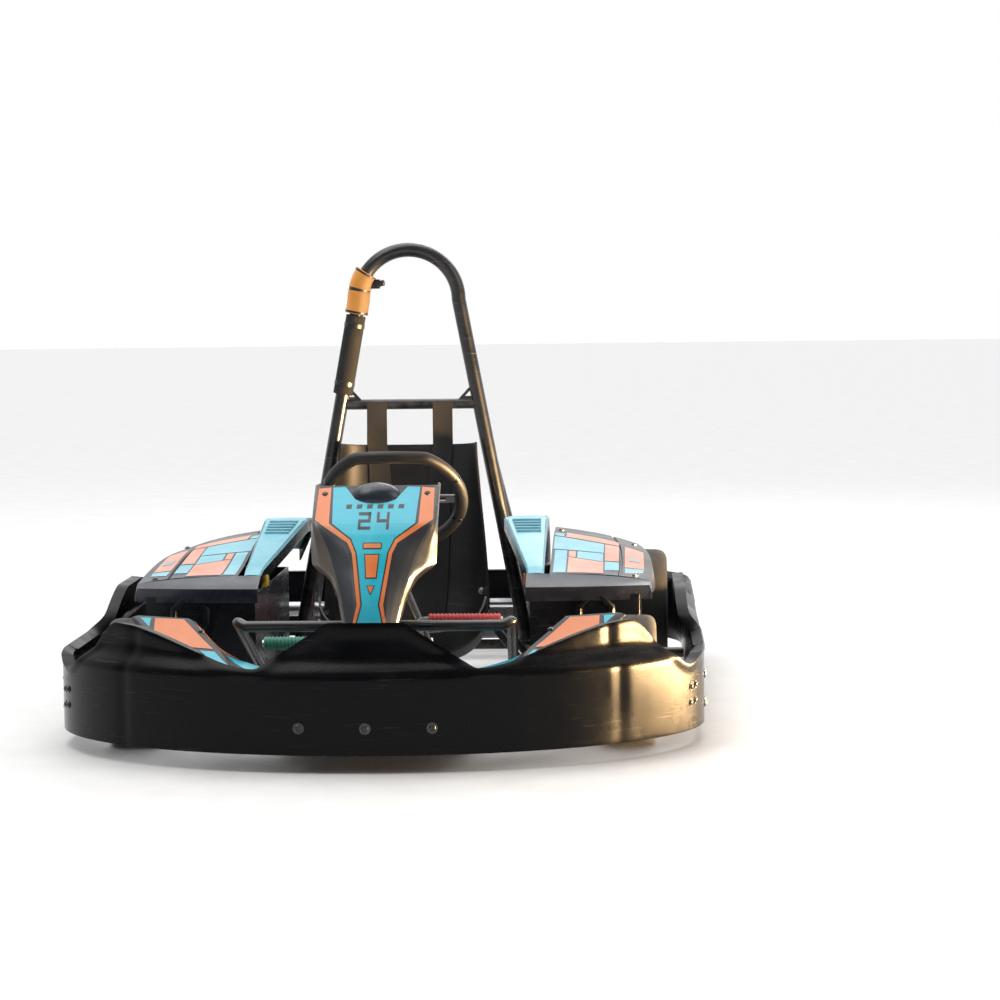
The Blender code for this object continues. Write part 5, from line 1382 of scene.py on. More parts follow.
# ---- seat and harness
@dataclass
class Seat:
    """The bucket seat with its shoulder and lap belts."""

    shop: Workshop
    half: float = 0.185
    middle: float = 1.00
    wall: float = 0.005
    belt_half: float = 0.022
    belt_wall: float = 0.003
    belt_lift: float = 0.004
    buckle_at: float = 0.46
    profile: Sequence = ((-0.150, 0.165), (-0.100, 0.110), (-0.020, 0.078), (0.080, 0.080), (0.140, 0.120),
                         (0.175, 0.230), (0.198, 0.360), (0.215, 0.480), (0.225, 0.560))

    def line(self, share: float) -> tuple[float, float]:
        """A point of the middle line, from the front lip to the top edge."""
        back = self.middle + straight([p[0] for p in self.profile], share)
        return back, straight([p[1] for p in self.profile], share)

    def point(self, across: float, share: float, lift: float = 0.0) -> Vector:
        """A point of the seat's inner face, eased along its middle line.

        Args:
            across: from 0 at the right edge to 1 at the left one.
            share: from 0 at the front lip to 1 at the top.
            lift: how far above the face.
        Returns:
            The point.
        """
        out = 2 * across - 1
        samples = [self.line(min(max(share + shift, 0.0), 1.0)) for shift in (-0.02, -0.01, 0.0, 0.01, 0.02)]
        back = sum(s[0] for s in samples) / 5
        height = sum(s[1] for s in samples) / 5
        ahead, low = self.line(max(share - 0.03, 0.0))
        behind, high = self.line(min(share + 0.03, 1.0))
        normal = Vector((0.0, low - high, behind - ahead)).normalized()
        waist = 1 - 0.16 * smooth_step(0.55, 1.0, share)
        wing = 0.105 * abs(out) ** 3 * (1 - 0.35 * smooth_step(0.7, 1.0, share))
        x = self.half * waist * math.sin(out * math.pi / 2 * 0.92) / math.sin(math.pi / 2 * 0.92)
        return at(x, back, height) + normal * (wing + lift)

    def shoulder_belt(self, sign: int) -> Shape:
        """Webbing from the hoop's crossbar over the seat's edge to the buckle."""
        turn = 11 / 14

        def surface(across: float, along: float) -> Vector:
            share = min(along, turn) / turn
            spread = (2 * across - 1) * self.belt_half / self.half
            drift = 0.36 * (0.45 + 0.55 * share)
            seat_share = self.buckle_at + (1 - self.buckle_at) * share
            spot = self.point(0.5 + (sign * drift + spread) / 2, seat_share, self.belt_lift)
            if along > turn:
                top = at(spot.x, 1.24 - 0.012 - 2 * self.belt_wall, 0.656)
                spot = spot.lerp(top, (along - turn) / (1 - turn))
            return spot

        bm = new_grid(6, 70, surface, Vector((0.0, -1.0, 0.6)))
        bmesh.ops.solidify(bm, geom=bm.faces[:], thickness=self.belt_wall)
        return bm

    def lap_belt(self, sign: int) -> Shape:
        """Webbing from the buckle to the side of the seat."""

        def surface(across: float, along: float) -> Vector:
            share = self.buckle_at - 0.055 + (across - 0.5) * 0.085 + 0.02 * along
            return self.point(0.5 + sign * (0.06 + 0.405 * along), share, self.belt_lift + 0.002)

        bm = new_grid(6, 30, surface, Vector((0.0, -0.3, 1.0)))
        bmesh.ops.solidify(bm, geom=bm.faces[:], thickness=self.belt_wall)
        return bm

    def build(self) -> None:
        """Makes the shell, the belts and the buckle."""
        shell = new_grid(64, 110, self.point, Vector((0.0, -1.0, 1.0)))
        self.shop.piece(
            "visual_seat_shell", shell, SEAT_PLASTIC, "seat_plastic", ["seat_shell"],
            wall=self.wall, bevel=0.0018, closed=False, even=False)
        heads = bmesh.new()
        for sign in SIDES.values():
            node = f"{'left' if sign > 0 else 'right'}_shoulder_belt"
            self.shop.piece(
                "visual_" + node, self.shoulder_belt(sign), WEBBING, "webbing", [node],
                bevel=0.0006, smooth=50)
            self.shop.piece(
                node.replace("shoulder", "lap"), self.lap_belt(sign), WEBBING, "webbing",
                bevel=0.0006, smooth=50)
            for share in (0.35, 0.60):
                spot = self.point(0.5 + sign * 0.40, share)
                merge(heads, bolt(spot, self.point(0.5 + sign * 0.40, share, 0.01) - spot, 0.006))
        self.shop.piece("seat_bolts", heads, SATIN_STEEL, "machined_steel")
        face = self.point(0.5, self.buckle_at - 0.055, self.belt_lift + 0.008)
        place = facing(face, Vector((0.0, -0.20, 1.0)))
        body = turned(
            [(0.0, 0.0), (0.026, 0.0), (0.028, 0.002), (0.028, 0.014), (0.025, 0.018), (0.018, 0.019),
            (0.0, 0.019)], place, 40, closed=False)
        for turn in range(4):
            spoke = Matrix.Rotation(math.pi / 4 + turn * math.pi / 2, 4, "Z")
            tongue = block((0.022, -0.010, 0.004), (0.040, 0.010, 0.009), 0.0015, place=place @ spoke)
            merge(body, tongue)
        self.shop.piece("buckle_body", body, DARK_PLASTIC, "buckle_red", bevel=0.0008)
        button = turned(
            [(0.0, 0.0185), (0.019, 0.0185), (0.019, 0.022), (0.016, 0.0245), (0.0, 0.0245)], place, 32,
            closed=False)
        self.shop.piece("visual_harness_buckle", button, BUCKLE_RED, "buckle_red", ["harness_buckle"])


# ---- roll hoop and foot guard
@dataclass
class RollHoop:
    """The welded hoop with its braces, feet, foam and orange wrap."""

    shop: Workshop
    back: float = 1.24
    radius: float = 0.0165
    foot_half: float = 0.268
    top_half: float = 0.117
    turn_height: float = 0.893
    top: float = 1.0095
    base: float = 0.0863

    def half(self, height: float) -> float:
        """Half the distance between the legs at a height."""
        share = (height - 0.086) / (self.turn_height - 0.086)
        return self.foot_half + (self.top_half - self.foot_half) * share

    def arc(self) -> list[Vector]:
        """Points over the top, from the right leg to the left one."""
        rise = self.top - self.turn_height
        turns = [math.pi * step / 48 for step in range(49)]
        return [at(-self.top_half * math.cos(turn), self.back, self.turn_height + rise * math.sin(turn))
                for turn in turns]

    def path(self) -> list[Vector]:
        """The hoop's whole middle line."""
        foot = self.base + 0.004
        ends = [at(sign * self.half(foot), self.back, foot) for sign in (-1, 1)]
        return [ends[0], *self.arc(), ends[1]]

    def leg_point(self, height: float) -> Vector:
        """The point of the right leg's middle line at a height."""
        if height < self.turn_height:
            return at(-self.half(height), self.back, height)
        share = (height - self.turn_height) / (self.top - self.turn_height)
        return at(-self.top_half * math.sqrt(max(0.0, 1.0 - share ** 2)), self.back, height)

    def right_leg(self, low: float, high: float) -> list[Vector]:
        """The middle line of the right leg between two heights."""
        return [self.leg_point(low + (high - low) * step / 8) for step in range(9)]

    def ring(self, height: float, radius: float, tall: float) -> Shape:
        """A band round the right leg at a height."""
        line = self.right_leg(height - tall / 2, height + tall / 2)
        return tube_mesh(line, radius, rings=7)

    def gusset(self, sign: int) -> Shape:
        """A triangular plate with a hole between a leg and the crossbar."""
        x = sign * self.half(0.650)
        place = Matrix.Translation(at(x, self.back, 0.650)) @ Matrix.Diagonal((-sign, 1.0, 1.0, 1.0))
        outer = [Vector((0.004, 0.0, 0.060)), Vector((0.052, 0.0, 0.008)), Vector((0.004, 0.0, 0.008))]
        middle = sum(outer, Vector()) / 3
        bm = bmesh.new()
        count = 8
        rows = []
        for scale in (1.0, 0.42):
            loop = []
            for first, second in zip(outer, outer[1:] + outer[:1]):
                side = [first.lerp(second, step / count) for step in range(count)]
                loop += [middle + (spot - middle) * scale for spot in side]
            verts = [bm.verts.new(p) for p in loop]
            rows.append([bm.edges.new((verts[i], verts[(i + 1) % len(verts)])) for i in range(len(verts))])
        bmesh.ops.bridge_loops(bm, edges=rows[0] + rows[1])
        bmesh.ops.solidify(bm, geom=bm.faces[:], thickness=0.005)
        bmesh.ops.transform(bm, matrix=place, verts=bm.verts)
        bmesh.ops.recalc_face_normals(bm, faces=bm.faces)
        return bm

    def build(self) -> None:
        """Makes the hoop and what is wrapped round it."""
        bar_half = self.half(0.650)
        bar = [at(-bar_half, self.back, 0.650), at(bar_half, self.back, 0.650)]
        runs = [(self.path(), self.radius), (bar, 0.012)]
        plates = bmesh.new()
        for sign in SIDES.values():
            start = at(sign * self.half(0.590), self.back, 0.590)
            end = at(sign * 0.275, 1.590, 0.092)
            runs.append(([start, end], 0.012))
            for spot, half_x, half_y in ((at(sign * self.half(0.09), self.back, 0.0), 0.026, 0.030),
                                         (end, 0.022, 0.032)):
                low = (spot.x - half_x, spot.y - half_y, self.base)
                merge(plates, block(low, (spot.x + half_x, spot.y + half_y, self.base + PLATE), 0.0015))
                for shift in (-0.020, 0.020):
                    merge(plates, bolt(Vector((spot.x, spot.y + shift * 1.05, self.base + PLATE)), UP, 0.005))
            merge(plates, self.gusset(sign))
        self.shop.tube(
            "visual_roll_hoop", runs, FRAME_PAINT, "frame_paint", ["roll_hoop"], extra=plates, rings=8)
        foam = tube_mesh(self.right_leg(0.675, 0.858), 0.023, rings=8)
        self.shop.piece("visual_hoop_foam", foam, FOAM, "foam_black", ["hoop_foam"], bevel=0.004, segments=3)
        wraps = bmesh.new()
        for low, high in ((0.862, 0.915), (0.921, 0.958)):
            merge(wraps, tube_mesh(self.right_leg(low, high), 0.0265, rings=8))
        pad = self.shop.piece(
            "visual_hoop_pad", wraps, ORANGE_WRAP, "pad_orange", ["hoop_pad"], bevel=0.003,
            segments=3)
        straps = merge(
            self.ring(0.866, 0.0272, 0.005), self.ring(0.918, 0.0255, 0.008), self.ring(0.955, 0.0272, 0.004),
            self.ring(0.700, 0.0242, 0.010), self.ring(0.835, 0.0242, 0.010))
        self.shop.piece("hoop_straps", straps, INK, "foam_black", bevel=0.0006)
        spot = at(-self.half(0.93) + 0.034, self.back, 0.930)
        device = merge(
            block(spot - Vector((0.012, 0.010, 0.010)), spot + Vector((0.010, 0.010, 0.012)), 0.003),
            rod(spot, spot + Vector((0.020, -0.004, 0.004)), 0.007, 0.001))
        self.shop.piece("hoop_sensor", device, DARK_PLASTIC, "dark_plastic")


@dataclass
class FootGuard:
    """The bar ahead of the pedals."""

    shop: Workshop
    radius: float = 0.011
    base: float = 0.0863

    def build(self) -> None:
        """Makes the bent bar with its feet."""
        end_x = 0.14 + 0.135 * (0.600 - 0.10) / 0.555
        half = [at(0.257, 0.222, 0.258), at(0.275, 0.234, 0.266), at(end_x, 0.600, 0.091)]
        other = [Vector((-p.x, p.y, p.z)) for p in reversed(half)]
        feet = bmesh.new()
        for spot in (half[-1], other[0]):
            merge(feet, block((spot.x - 0.018, spot.y - 0.024, self.base),
                              (spot.x + 0.018, spot.y + 0.024, self.base + PLATE), 0.0015))
            for shift in (-0.016, 0.016):
                merge(feet, bolt(Vector((spot.x, spot.y + shift, self.base + PLATE)), UP, 0.0045))
        path = rounded_path([*other, *half], 0.014)
        self.shop.tube("visual_foot_guard", [(path, self.radius)], FRAME_PAINT, "frame_paint",
                       ["foot_guard"], extra=feet, rings=7)


# ---- steering, pedals
@dataclass
class SteeringWheel:
    """The flat-topped steering wheel with its spokes and centre."""

    shop: Workshop
    axis: Vector = field(default_factory=lambda: Vector((0.0, 0.743145, 0.669131)))
    up: Vector = field(default_factory=lambda: Vector((0.0, -0.669131, 0.743145)))
    radius: float = 0.147
    grip: float = 0.0135

    def place(self) -> Matrix:
        """X across, Y up the wheel's face, Z along the column towards the driver."""
        turn = Matrix((Vector((-1, 0, 0)), self.up, self.axis)).transposed().to_4x4()
        return Matrix.Translation(at(0.0, 0.758, 0.467)) @ turn

    def outline(self, radius: float, steps: int = 120) -> list[Vector]:
        """The grip's middle line."""
        flat = radius * 0.86
        spots = [Vector((radius * math.sin(a), radius * math.cos(a), 0.0))
                 for a in (2 * math.pi * step / steps for step in range(steps))]
        return [Vector((p.x, min(p.y, flat + (p.y - flat) * 0.15), 0.0)) for p in spots]

    def spoke(self, angle: float) -> Shape:
        """A spoke with an opening along its middle."""
        reach = self.radius - self.grip - 0.0015
        bm = bmesh.new()
        bmesh.ops.create_grid(bm, x_segments=4, y_segments=12, size=0.5)
        for vert in bm.verts:
            y = 0.010 + (vert.co.y + 0.5) * (reach - 0.010)
            vert.co = (vert.co.x * 0.028 * (1 - 0.2 * (y / reach)), y, 0.0025)
        gone = [f for f in bm.faces
                if abs(f.calc_center_median().x) < 0.006 and 0.048 < f.calc_center_median().y < 0.110]
        bmesh.ops.delete(bm, geom=gone, context="FACES")
        bmesh.ops.solidify(bm, geom=bm.faces[:], thickness=0.005)
        bmesh.ops.recalc_face_normals(bm, faces=bm.faces)
        bmesh.ops.transform(bm, matrix=self.place() @ Matrix.Rotation(angle, 4, "Z"), verts=bm.verts)
        return bm

    def build(self) -> None:
        """Makes the grip, the spokes and the hub."""
        place = self.place()
        self.shop.tube(
            "visual_steering_wheel", [([place @ p for p in self.outline(self.radius)], self.grip)],
            GRIP_RUBBER, "grip_rubber", ["steering_wheel"], cyclic=True, rings=9, body=Body.STEERING)
        spokes = merge(*[self.spoke(math.radians(turn)) for turn in (90.0, -90.0, 180.0)])
        self.shop.piece("wheel_spokes", spokes, DARK_STEEL, "cast_alloy", bevel=0.001, body=Body.STEERING)
        boss = turned([(0.0, -0.011), (0.028, -0.011), (0.032, -0.007), (0.032, 0.004), (0.029, 0.008),
                       (0.0, 0.008)], place, 48, closed=False)
        self.shop.piece(
            "visual_steering_hub", boss, DARK_STEEL, "cast_alloy", ["steering_hub"], body=Body.STEERING)
        cap = turned([(0.0, 0.008), (0.018, 0.008), (0.018, 0.010), (0.013, 0.012), (0.0, 0.012)], place, 32,
                     closed=False)
        heads = bmesh.new()
        for step in range(6):
            turn = step * math.pi / 3
            spot = place @ Vector((0.0245 * math.cos(turn), 0.0245 * math.sin(turn), 0.008))
            merge(heads, bolt(spot, self.axis, 0.0035))
        self.shop.piece("wheel_cap", cap, DARK_PLASTIC, "grip_rubber", bevel=0.0005, body=Body.STEERING)
        self.shop.piece("wheel_bolts", heads, SATIN_STEEL, "machined_steel", body=Body.STEERING)
        bands = bmesh.new()
        line = [place @ p for p in self.outline(self.radius)]
        for start in (22, 38, 82, 98):
            merge(bands, tube_mesh(line[start:start + 2], self.grip + 0.0006, rings=8))
        self.shop.piece("grip_bands", bands, DARK_PLASTIC, "grip_rubber", bevel=0.0003, body=Body.STEERING)


@dataclass
class SteeringGear:
    """The column, its support, the tie rods, kingpins and knuckles."""

    shop: Workshop

    def build(self) -> None:
        """Makes each part from its CAD solid, with rounded edges."""
        self.shop.refine("steering_shaft", SATIN_STEEL, "machined_steel", 0.0008, body=Body.STEERING)
        self.shop.refine("steering_support", FRAME_PAINT, "frame_paint", 0.0008)
        for side in SIDES:
            knuckle = Body.LEFT_KNUCKLE if side == "left" else Body.RIGHT_KNUCKLE
            link = Body.LEFT_ROD if side == "left" else Body.RIGHT_ROD
            self.shop.refine(side + "_spindle", SATIN_STEEL, "machined_steel", 0.0008, body=knuckle)
            self.shop.refine(side + "_tie_rod", SATIN_STEEL, "machined_steel", 0.0008, body=link)
            self.shop.refine(side + "_kingpin", DARK_STEEL, "machined_steel", 0.0006)


@dataclass
class Pedals:
    """Both pedals with their ribbed sleeves, the shaft and the brake's hydraulics."""

    shop: Workshop
    back: float = 0.327
    bore: float = 0.0092
    rib: float = 0.014

    def sleeve(self, node: str, body: Body, finish: Finish, slot: str, start: float, end: float,
               z: float) -> None:
        """Makes a ribbed sleeve between two X places.

        Args:
            node: the CAD node that it stands for.
            body: the CAD body that it rides on.
            finish: its finish.
            slot: the record's material slot.
            start: the X of one end.
            end: the X of the other.
            z: its height.
        """
        length = abs(end - start)
        count = round(length / 0.0075)
        pitch = length / count
        profile = [(self.bore, 0.0)]
        for step in range(count):
            low = step * pitch
            profile += [(self.rib - 0.0017, low), (self.rib - 0.0014, low + pitch * 0.18),
                        (self.rib, low + pitch * 0.32), (self.rib, low + pitch * 0.68),
                        (self.rib - 0.0014, low + pitch * 0.82)]
        profile += [(self.rib - 0.0017, length), (self.bore, length)]
        axis = Vector((1.0 if end > start else -1.0, 0.0, 0.0))
        bm = turned(profile, facing(at(start, self.back, z), axis), 36)
        self.shop.piece("visual_" + node, bm, finish, slot, [node], smooth=50, body=body)

    def build(self) -> None:
        """Makes the pedals and what they work."""
        shop = self.shop
        shop.refine("brake_pedal", SATIN_STEEL, "machined_steel", 0.0008, body=Body.BRAKE)
        shop.refine("throttle_pedal", SATIN_STEEL, "machined_steel", 0.0008, body=Body.THROTTLE)
        self.sleeve("brake_sleeve", Body.BRAKE, RED_RUBBER, "sleeve_red", 0.102, 0.248, 0.255)
        self.sleeve("throttle_sleeve", Body.THROTTLE, GREEN_RUBBER, "sleeve_green", -0.137, -0.233, 0.210)
        shop.refine("pedal_shaft", SATIN_STEEL, "machined_steel", 0.0006)
        shop.refine("brake_rod", SATIN_STEEL, "machined_steel", 0.0006, body=Body.PUSH_ROD)
        shop.refine("brake_cylinder", CAST_ALLOY, "cast_alloy", 0.0012)
        shop.refine("throttle_sensor", DARK_PLASTIC, "dark_plastic", 0.0015)


# ---- wheels
@dataclass
class Wheel:
    """A slick tyre on an alloy rim."""

    shop: Workshop
    name: str
    body: Body
    x: float
    back: float
    radius: float
    width: float
    bore: float
    rim: float = 0.0635

    def tyre(self) -> Outline:
        """The tyre's section as (radius, distance from its middle), with rounded shoulders."""
        half = self.width / 2
        inner = self.rim + 0.0009
        right = [(inner, half * 0.80), (inner + 0.004, half * 0.86), (inner + 0.010, half * 0.93),
                 (inner + 0.022, half * 0.975)]
        right += [(self.radius - 0.026, half * 0.998), (self.radius - 0.024, half * 1.0),
                  (self.radius - 0.020, half * 0.995), (self.radius - 0.012, half * 0.965),
                  (self.radius - 0.006, half * 0.91), (self.radius - 0.002, half * 0.82),
                  (self.radius - 0.0004, half * 0.70), (self.radius, half * 0.50)]
        groove = half * 0.34
        right += [(self.radius, groove + 0.001), (self.radius - 0.0015, groove),
                  (self.radius, groove - 0.001)]
        return right + [(radius, -offset) for radius, offset in reversed(right)]

    def wheel(self) -> Outline:
        """The rim's section: hub, web, barrel and flanges."""
        half = self.width / 2 * 0.80 - 0.0005
        barrel = self.rim - 0.004
        hub = self.bore + 0.012
        right = [(self.bore, half * 0.9), (hub - 0.001, half * 0.9), (hub, half * 0.87), (hub + 0.002, 0.014),
                 (hub + 0.006, 0.010), (barrel - 0.010, 0.010), (barrel - 0.005, 0.014),
                 (barrel - 0.004, half * 0.6), (barrel - 0.001, half * 0.94), (barrel, half),
                 (self.rim - 0.001, half), (self.rim, half - 0.001), (self.rim, half * 0.90),
                 (self.rim - 0.002, half * 0.84), (self.rim - 0.002, half * 0.2)]
        return right + [(radius, -offset) for radius, offset in reversed(right)]

    def build(self) -> None:
        """Makes the tyre, the rim, its bolts and its valve."""
        place = facing(at(self.x, self.back, self.radius), ACROSS)
        self.shop.piece(f"visual_{self.name}_tyre", turned(self.tyre(), place, 96), TYRE_RUBBER,
                        "tyre_rubber", [self.name + "_tyre"], smooth=28, body=self.body)
        self.shop.piece(f"visual_{self.name}_rim", turned(self.wheel(), place, 72), CAST_ALLOY,
                        "rim_alloy", [self.name + "_rim"], smooth=28, body=self.body)
        heads = bmesh.new()
        sign = 1 if self.x > 0 else -1
        for side in (sign, -sign):
            for step in range(6):
                turn = step * math.pi / 3
                reach = (self.bore + 0.012 + self.rim) / 2 - 0.002
                spot = place @ Vector((reach * math.cos(turn), reach * math.sin(turn), 0.010 * side))
                merge(heads, bolt(spot, Vector((side, 0, 0)), 0.0042))
        valve = place @ Vector((0.0, self.rim - 0.008, 0.012 * sign))
        merge(heads, rod(valve, valve + Vector((sign * 0.020, 0.0, -0.002)), 0.003, 0.001, 12))
        self.shop.piece(self.name + "_wheel_bolts", heads, SATIN_STEEL, "machined_steel", body=self.body)


# ---- chassis
@dataclass
class Chassis:
    """The welded tube frame and the floor tray."""

    shop: Workshop
    rail_height: float = 0.070
    bar_height: float = 0.0673
    rail_half: float = 0.275
    nose_half: float = 0.14
    axle_back: float = 0.40
    kingpin_x: float = 0.395

    def rail_x(self, back: float) -> float:
        """X of a main rail's middle."""
        return straight([self.nose_half, self.rail_half], (back - 0.10) / 0.555)

    def tubes(self) -> list[tuple[list[Vector], float]]:
        """Every tube of the frame with its radius."""
        runs = []
        for sign in SIDES.values():
            rail = [at(sign * self.nose_half, 0.040, self.rail_height), at(sign * self.nose_half, 0.10,
                                                                           self.rail_height),
                    at(sign * self.rail_half, 0.655, self.rail_height), at(sign * self.rail_half, 1.7745,
                                                                           self.rail_height)]
            runs.append((rounded_path(rail, 0.05), 0.016))
            for back in (0.715, 1.195):
                runs.append(
                    ([at(sign * 0.267, back, self.bar_height), at(sign * 0.634, back, self.bar_height)],
                    0.012))
            runs.append(([at(sign * self.rail_x(self.axle_back), self.axle_back, self.rail_height),
                          at(sign * 0.359, self.axle_back, 0.127)], 0.014))
            for back in (0.96, 1.12):
                runs.append(([at(sign * 0.271, back, 0.074), at(sign * 0.207, back, 0.155)], 0.008))
        for back, half, radius in ((0.112, self.nose_half, 0.014), (0.40, self.rail_x(0.40) - 0.004, 0.012),
                                   (0.750, self.rail_half, 0.012), (1.355, self.rail_half, 0.012),
                                   (1.630, self.rail_half, 0.014)):
            runs.append(([at(-half, back, self.bar_height), at(half, back, self.bar_height)], radius))
        return runs

    def yoke(self, sign: int) -> Shape:
        """The bracket that holds a kingpin."""
        half = 0.030 + 0.0012
        thick = 0.006
        middle = 0.127
        y = self.axle_back - HALF_LENGTH
        inner = sign * (self.kingpin_x - 0.040)
        outer = sign * (self.kingpin_x + 0.018)
        whole = bmesh.new()
        for low, high in ((middle + half, middle + half + thick), (middle - half - thick, middle - half)):
            merge(whole, block((inner, y - 0.020, low), (outer, y + 0.020, high), 0.0012))
        reach = half + thick / 2
        web = block((inner, y - 0.020, middle - reach), (inner + sign * thick, y + 0.020, middle + reach),
                    0.0012)
        return merge(whole, web)

    def build(self) -> None:
        """Makes the frame, the tray and the tray's screws."""
        yokes = merge(*[self.yoke(sign) for sign in SIDES.values()])
        self.shop.tube("visual_chassis_frame", self.tubes(), FRAME_PAINT, "frame_paint",
                       ["chassis_frame"], extra=yokes, rings=6)
        heads = bmesh.new()
        for back in (0.14, 0.33, 0.52, 0.71, 0.83):
            for sign in SIDES.values():
                spot = at(sign * (self.rail_x(back) - 0.030), back, 0.0530)
                merge(heads, bolt(spot, UP, 0.0045))
        self.shop.refine("floor_tray", CAST_ALLOY, "tray_alloy", 0.0008)
        self.shop.piece("tray_bolts", heads, SATIN_STEEL, "machined_steel")


# ---- drive and brake
@dataclass
class Drive:
    """The motor, controller, sprockets and chain, the axle and the rear brake."""

    shop: Workshop
    axle_back: float = 1.48
    axle_height: float = 0.140
    motor_back: float = 1.355
    motor_height: float = 0.205
    sprocket_x: float = -0.045
    disc_x: float = -0.190

    def sprocket(self, middle: Vector, radius: float, teeth: int, hub: float, bore: float) -> Shape:
        """A toothed wheel on a hub, with its axis along X.

        Args:
            middle: its centre.
            radius: its outer radius.
            teeth: how many teeth it has.
            hub: the hub's radius.
            bore: the bore's radius, or 0 for a solid shaft.
        Returns:
            The bmesh.
        """
        place = facing(middle, ACROSS)
        bm = bmesh.new()
        count = teeth * 6
        depth = (0.0, 0.15, 0.85, 1.0, 0.85, 0.15)
        rings = []
        inner = max(bore, 0.004)
        for ring in range(2):
            verts = []
            for step in range(count):
                turn = 2 * math.pi * step / count
                reach = inner if ring else radius - 0.0045 * depth[step % 6]
                verts.append(bm.verts.new((reach * math.cos(turn), reach * math.sin(turn), 0.003)))
            rings.append([bm.edges.new((verts[i], verts[(i + 1) % count])) for i in range(count)])
        bmesh.ops.bridge_loops(bm, edges=rings[0] + rings[1])
        bmesh.ops.solidify(bm, geom=bm.faces[:], thickness=0.006)
        bmesh.ops.recalc_face_normals(bm, faces=bm.faces)
        bmesh.ops.transform(bm, matrix=place, verts=bm.verts)
        if bore:
            merge(bm, turned([(bore, -0.014), (hub, -0.014), (hub, 0.014), (bore, 0.014)], place, 40))
            for step in range(6):
                turn = step * math.pi / 3
                spot = place @ Vector(((hub + 0.010) * math.cos(turn), (hub + 0.010) * math.sin(turn), 0.003))
                merge(bm, bolt(spot, ACROSS, 0.004))
        else:
            merge(bm, rod(middle - Vector((0.006, 0, 0)), middle + Vector((0.0168, 0, 0)), 0.009, 0.001))
        return bm

    def chain(self) -> Shape:
        """Links and rollers round both sprockets."""
        big = Vector((self.axle_back, self.axle_height))
        small = Vector((self.motor_back, self.motor_height))
        run = small - big
        lean = math.atan2(run.y, run.x)
        spread = math.acos(0.048 / run.length)
        loop = []
        for middle, radius, start, sweep in ((big, 0.0855, lean + spread, 2 * (math.pi - spread)),
                                             (small, 0.0375, lean - spread, 2 * spread)):
            for step in range(41):
                turn = start + sweep * step / 40
                loop.append(at(self.sprocket_x, middle.x + radius * math.cos(turn),
                               middle.y + radius * math.sin(turn)))
        loop.append(loop[0])
        lengths = [0.0]
        for first, second in zip(loop, loop[1:]):
            lengths.append(lengths[-1] + (second - first).length)
        count = round(lengths[-1] / 0.0095)
        spots = []
        for step in range(count):
            place = lengths[-1] * step / count
            index = max(i for i in range(len(loop) - 1) if lengths[i] <= place)
            share = (place - lengths[index]) / max(lengths[index + 1] - lengths[index], 1e-9)
            spots.append(loop[index].lerp(loop[index + 1], share))
        whole = bmesh.new()
        for step, spot in enumerate(spots):
            after = spots[(step + 1) % count]
            along = (after - spot).normalized()
            axes = Matrix((ACROSS, along, ACROSS.cross(along))).transposed().to_4x4()
            place = Matrix.Translation((spot + after) / 2) @ axes
            merge(whole, rod(spot - Vector((0.0042, 0, 0)), spot + Vector((0.0042, 0, 0)), 0.0028, 0.0, 10))
            for x in (-0.0032, 0.0032):
                x += math.copysign(0.0008, x) * (step % 2)
                merge(
                    whole, block((x - 0.0005, -0.0072, -0.0036), (x + 0.0005, 0.0072, 0.0036), 0.0004, 1,
                    place))
        return whole

    def motor(self) -> Shape:
        """The motor's finned case, with its axis along X."""
        start = at(self.sprocket_x + 0.018, self.motor_back, self.motor_height)
        profile = [(0.0, 0.0), (0.034, 0.0), (0.036, 0.004), (0.054, 0.006), (0.058, 0.010), (0.058, 0.018)]
        for step in range(14):
            low = 0.022 + step * 0.0078
            profile += [(0.0545, low), (0.0545, low + 0.0036), (0.058, low + 0.0042), (0.058, low + 0.0074)]
        profile += [(0.058, 0.142), (0.054, 0.146), (0.030, 0.148), (0.028, 0.150), (0.0, 0.150)]
        body = turned(profile, facing(start, ACROSS), 72, closed=False)
        x, y, z = start
        foot = block((x + 0.020, y - 0.030, 0.0796), (x + 0.130, y + 0.030, z - 0.029), 0.003)
        box = block((x + 0.040, y - 0.052, z + 0.028), (x + 0.105, y - 0.010, z + 0.062), 0.005)
        return merge(body, foot, box)

    def disc(self) -> Shape:
        """The brake disc with slots round its rubbing face."""
        bm = bmesh.new()
        rings, steps = 9, 108
        bmesh.ops.create_grid(bm, x_segments=steps, y_segments=rings, size=0.5)
        bore, radius = 0.0181, 0.092
        for vert in bm.verts:
            turn = (vert.co.x + 0.5) * 2 * math.pi
            reach = bore + (vert.co.y + 0.5) * (radius - bore)
            vert.co = (reach * math.cos(turn), reach * math.sin(turn), 0.002)
        bmesh.ops.remove_doubles(bm, verts=bm.verts, dist=WELD)
        gone = []
        for face in bm.faces:
            spot = face.calc_center_median()
            turn = math.degrees(math.atan2(spot.y, spot.x)) % 360
            ring = int((spot.length - bore) / (radius - bore) * rings)
            slotted = ring in (5, 7) and int(turn / (360 / steps) + (2 if ring == 7 else 0)) % 6 == 0
            if slotted or (ring in (2, 3) and int(turn / (360 / steps)) % 18 > 10):
                gone.append(face)
        bmesh.ops.delete(bm, geom=gone, context="FACES")
        bmesh.ops.solidify(bm, geom=bm.faces[:], thickness=0.004)
        bmesh.ops.recalc_face_normals(bm, faces=bm.faces)
        place = facing(at(self.disc_x, self.axle_back, self.axle_height), ACROSS)
        bmesh.ops.transform(bm, matrix=place, verts=bm.verts)
        return merge(bm, turned([(bore, -0.013), (0.030, -0.013), (0.030, 0.013), (bore, 0.013)], place, 40))

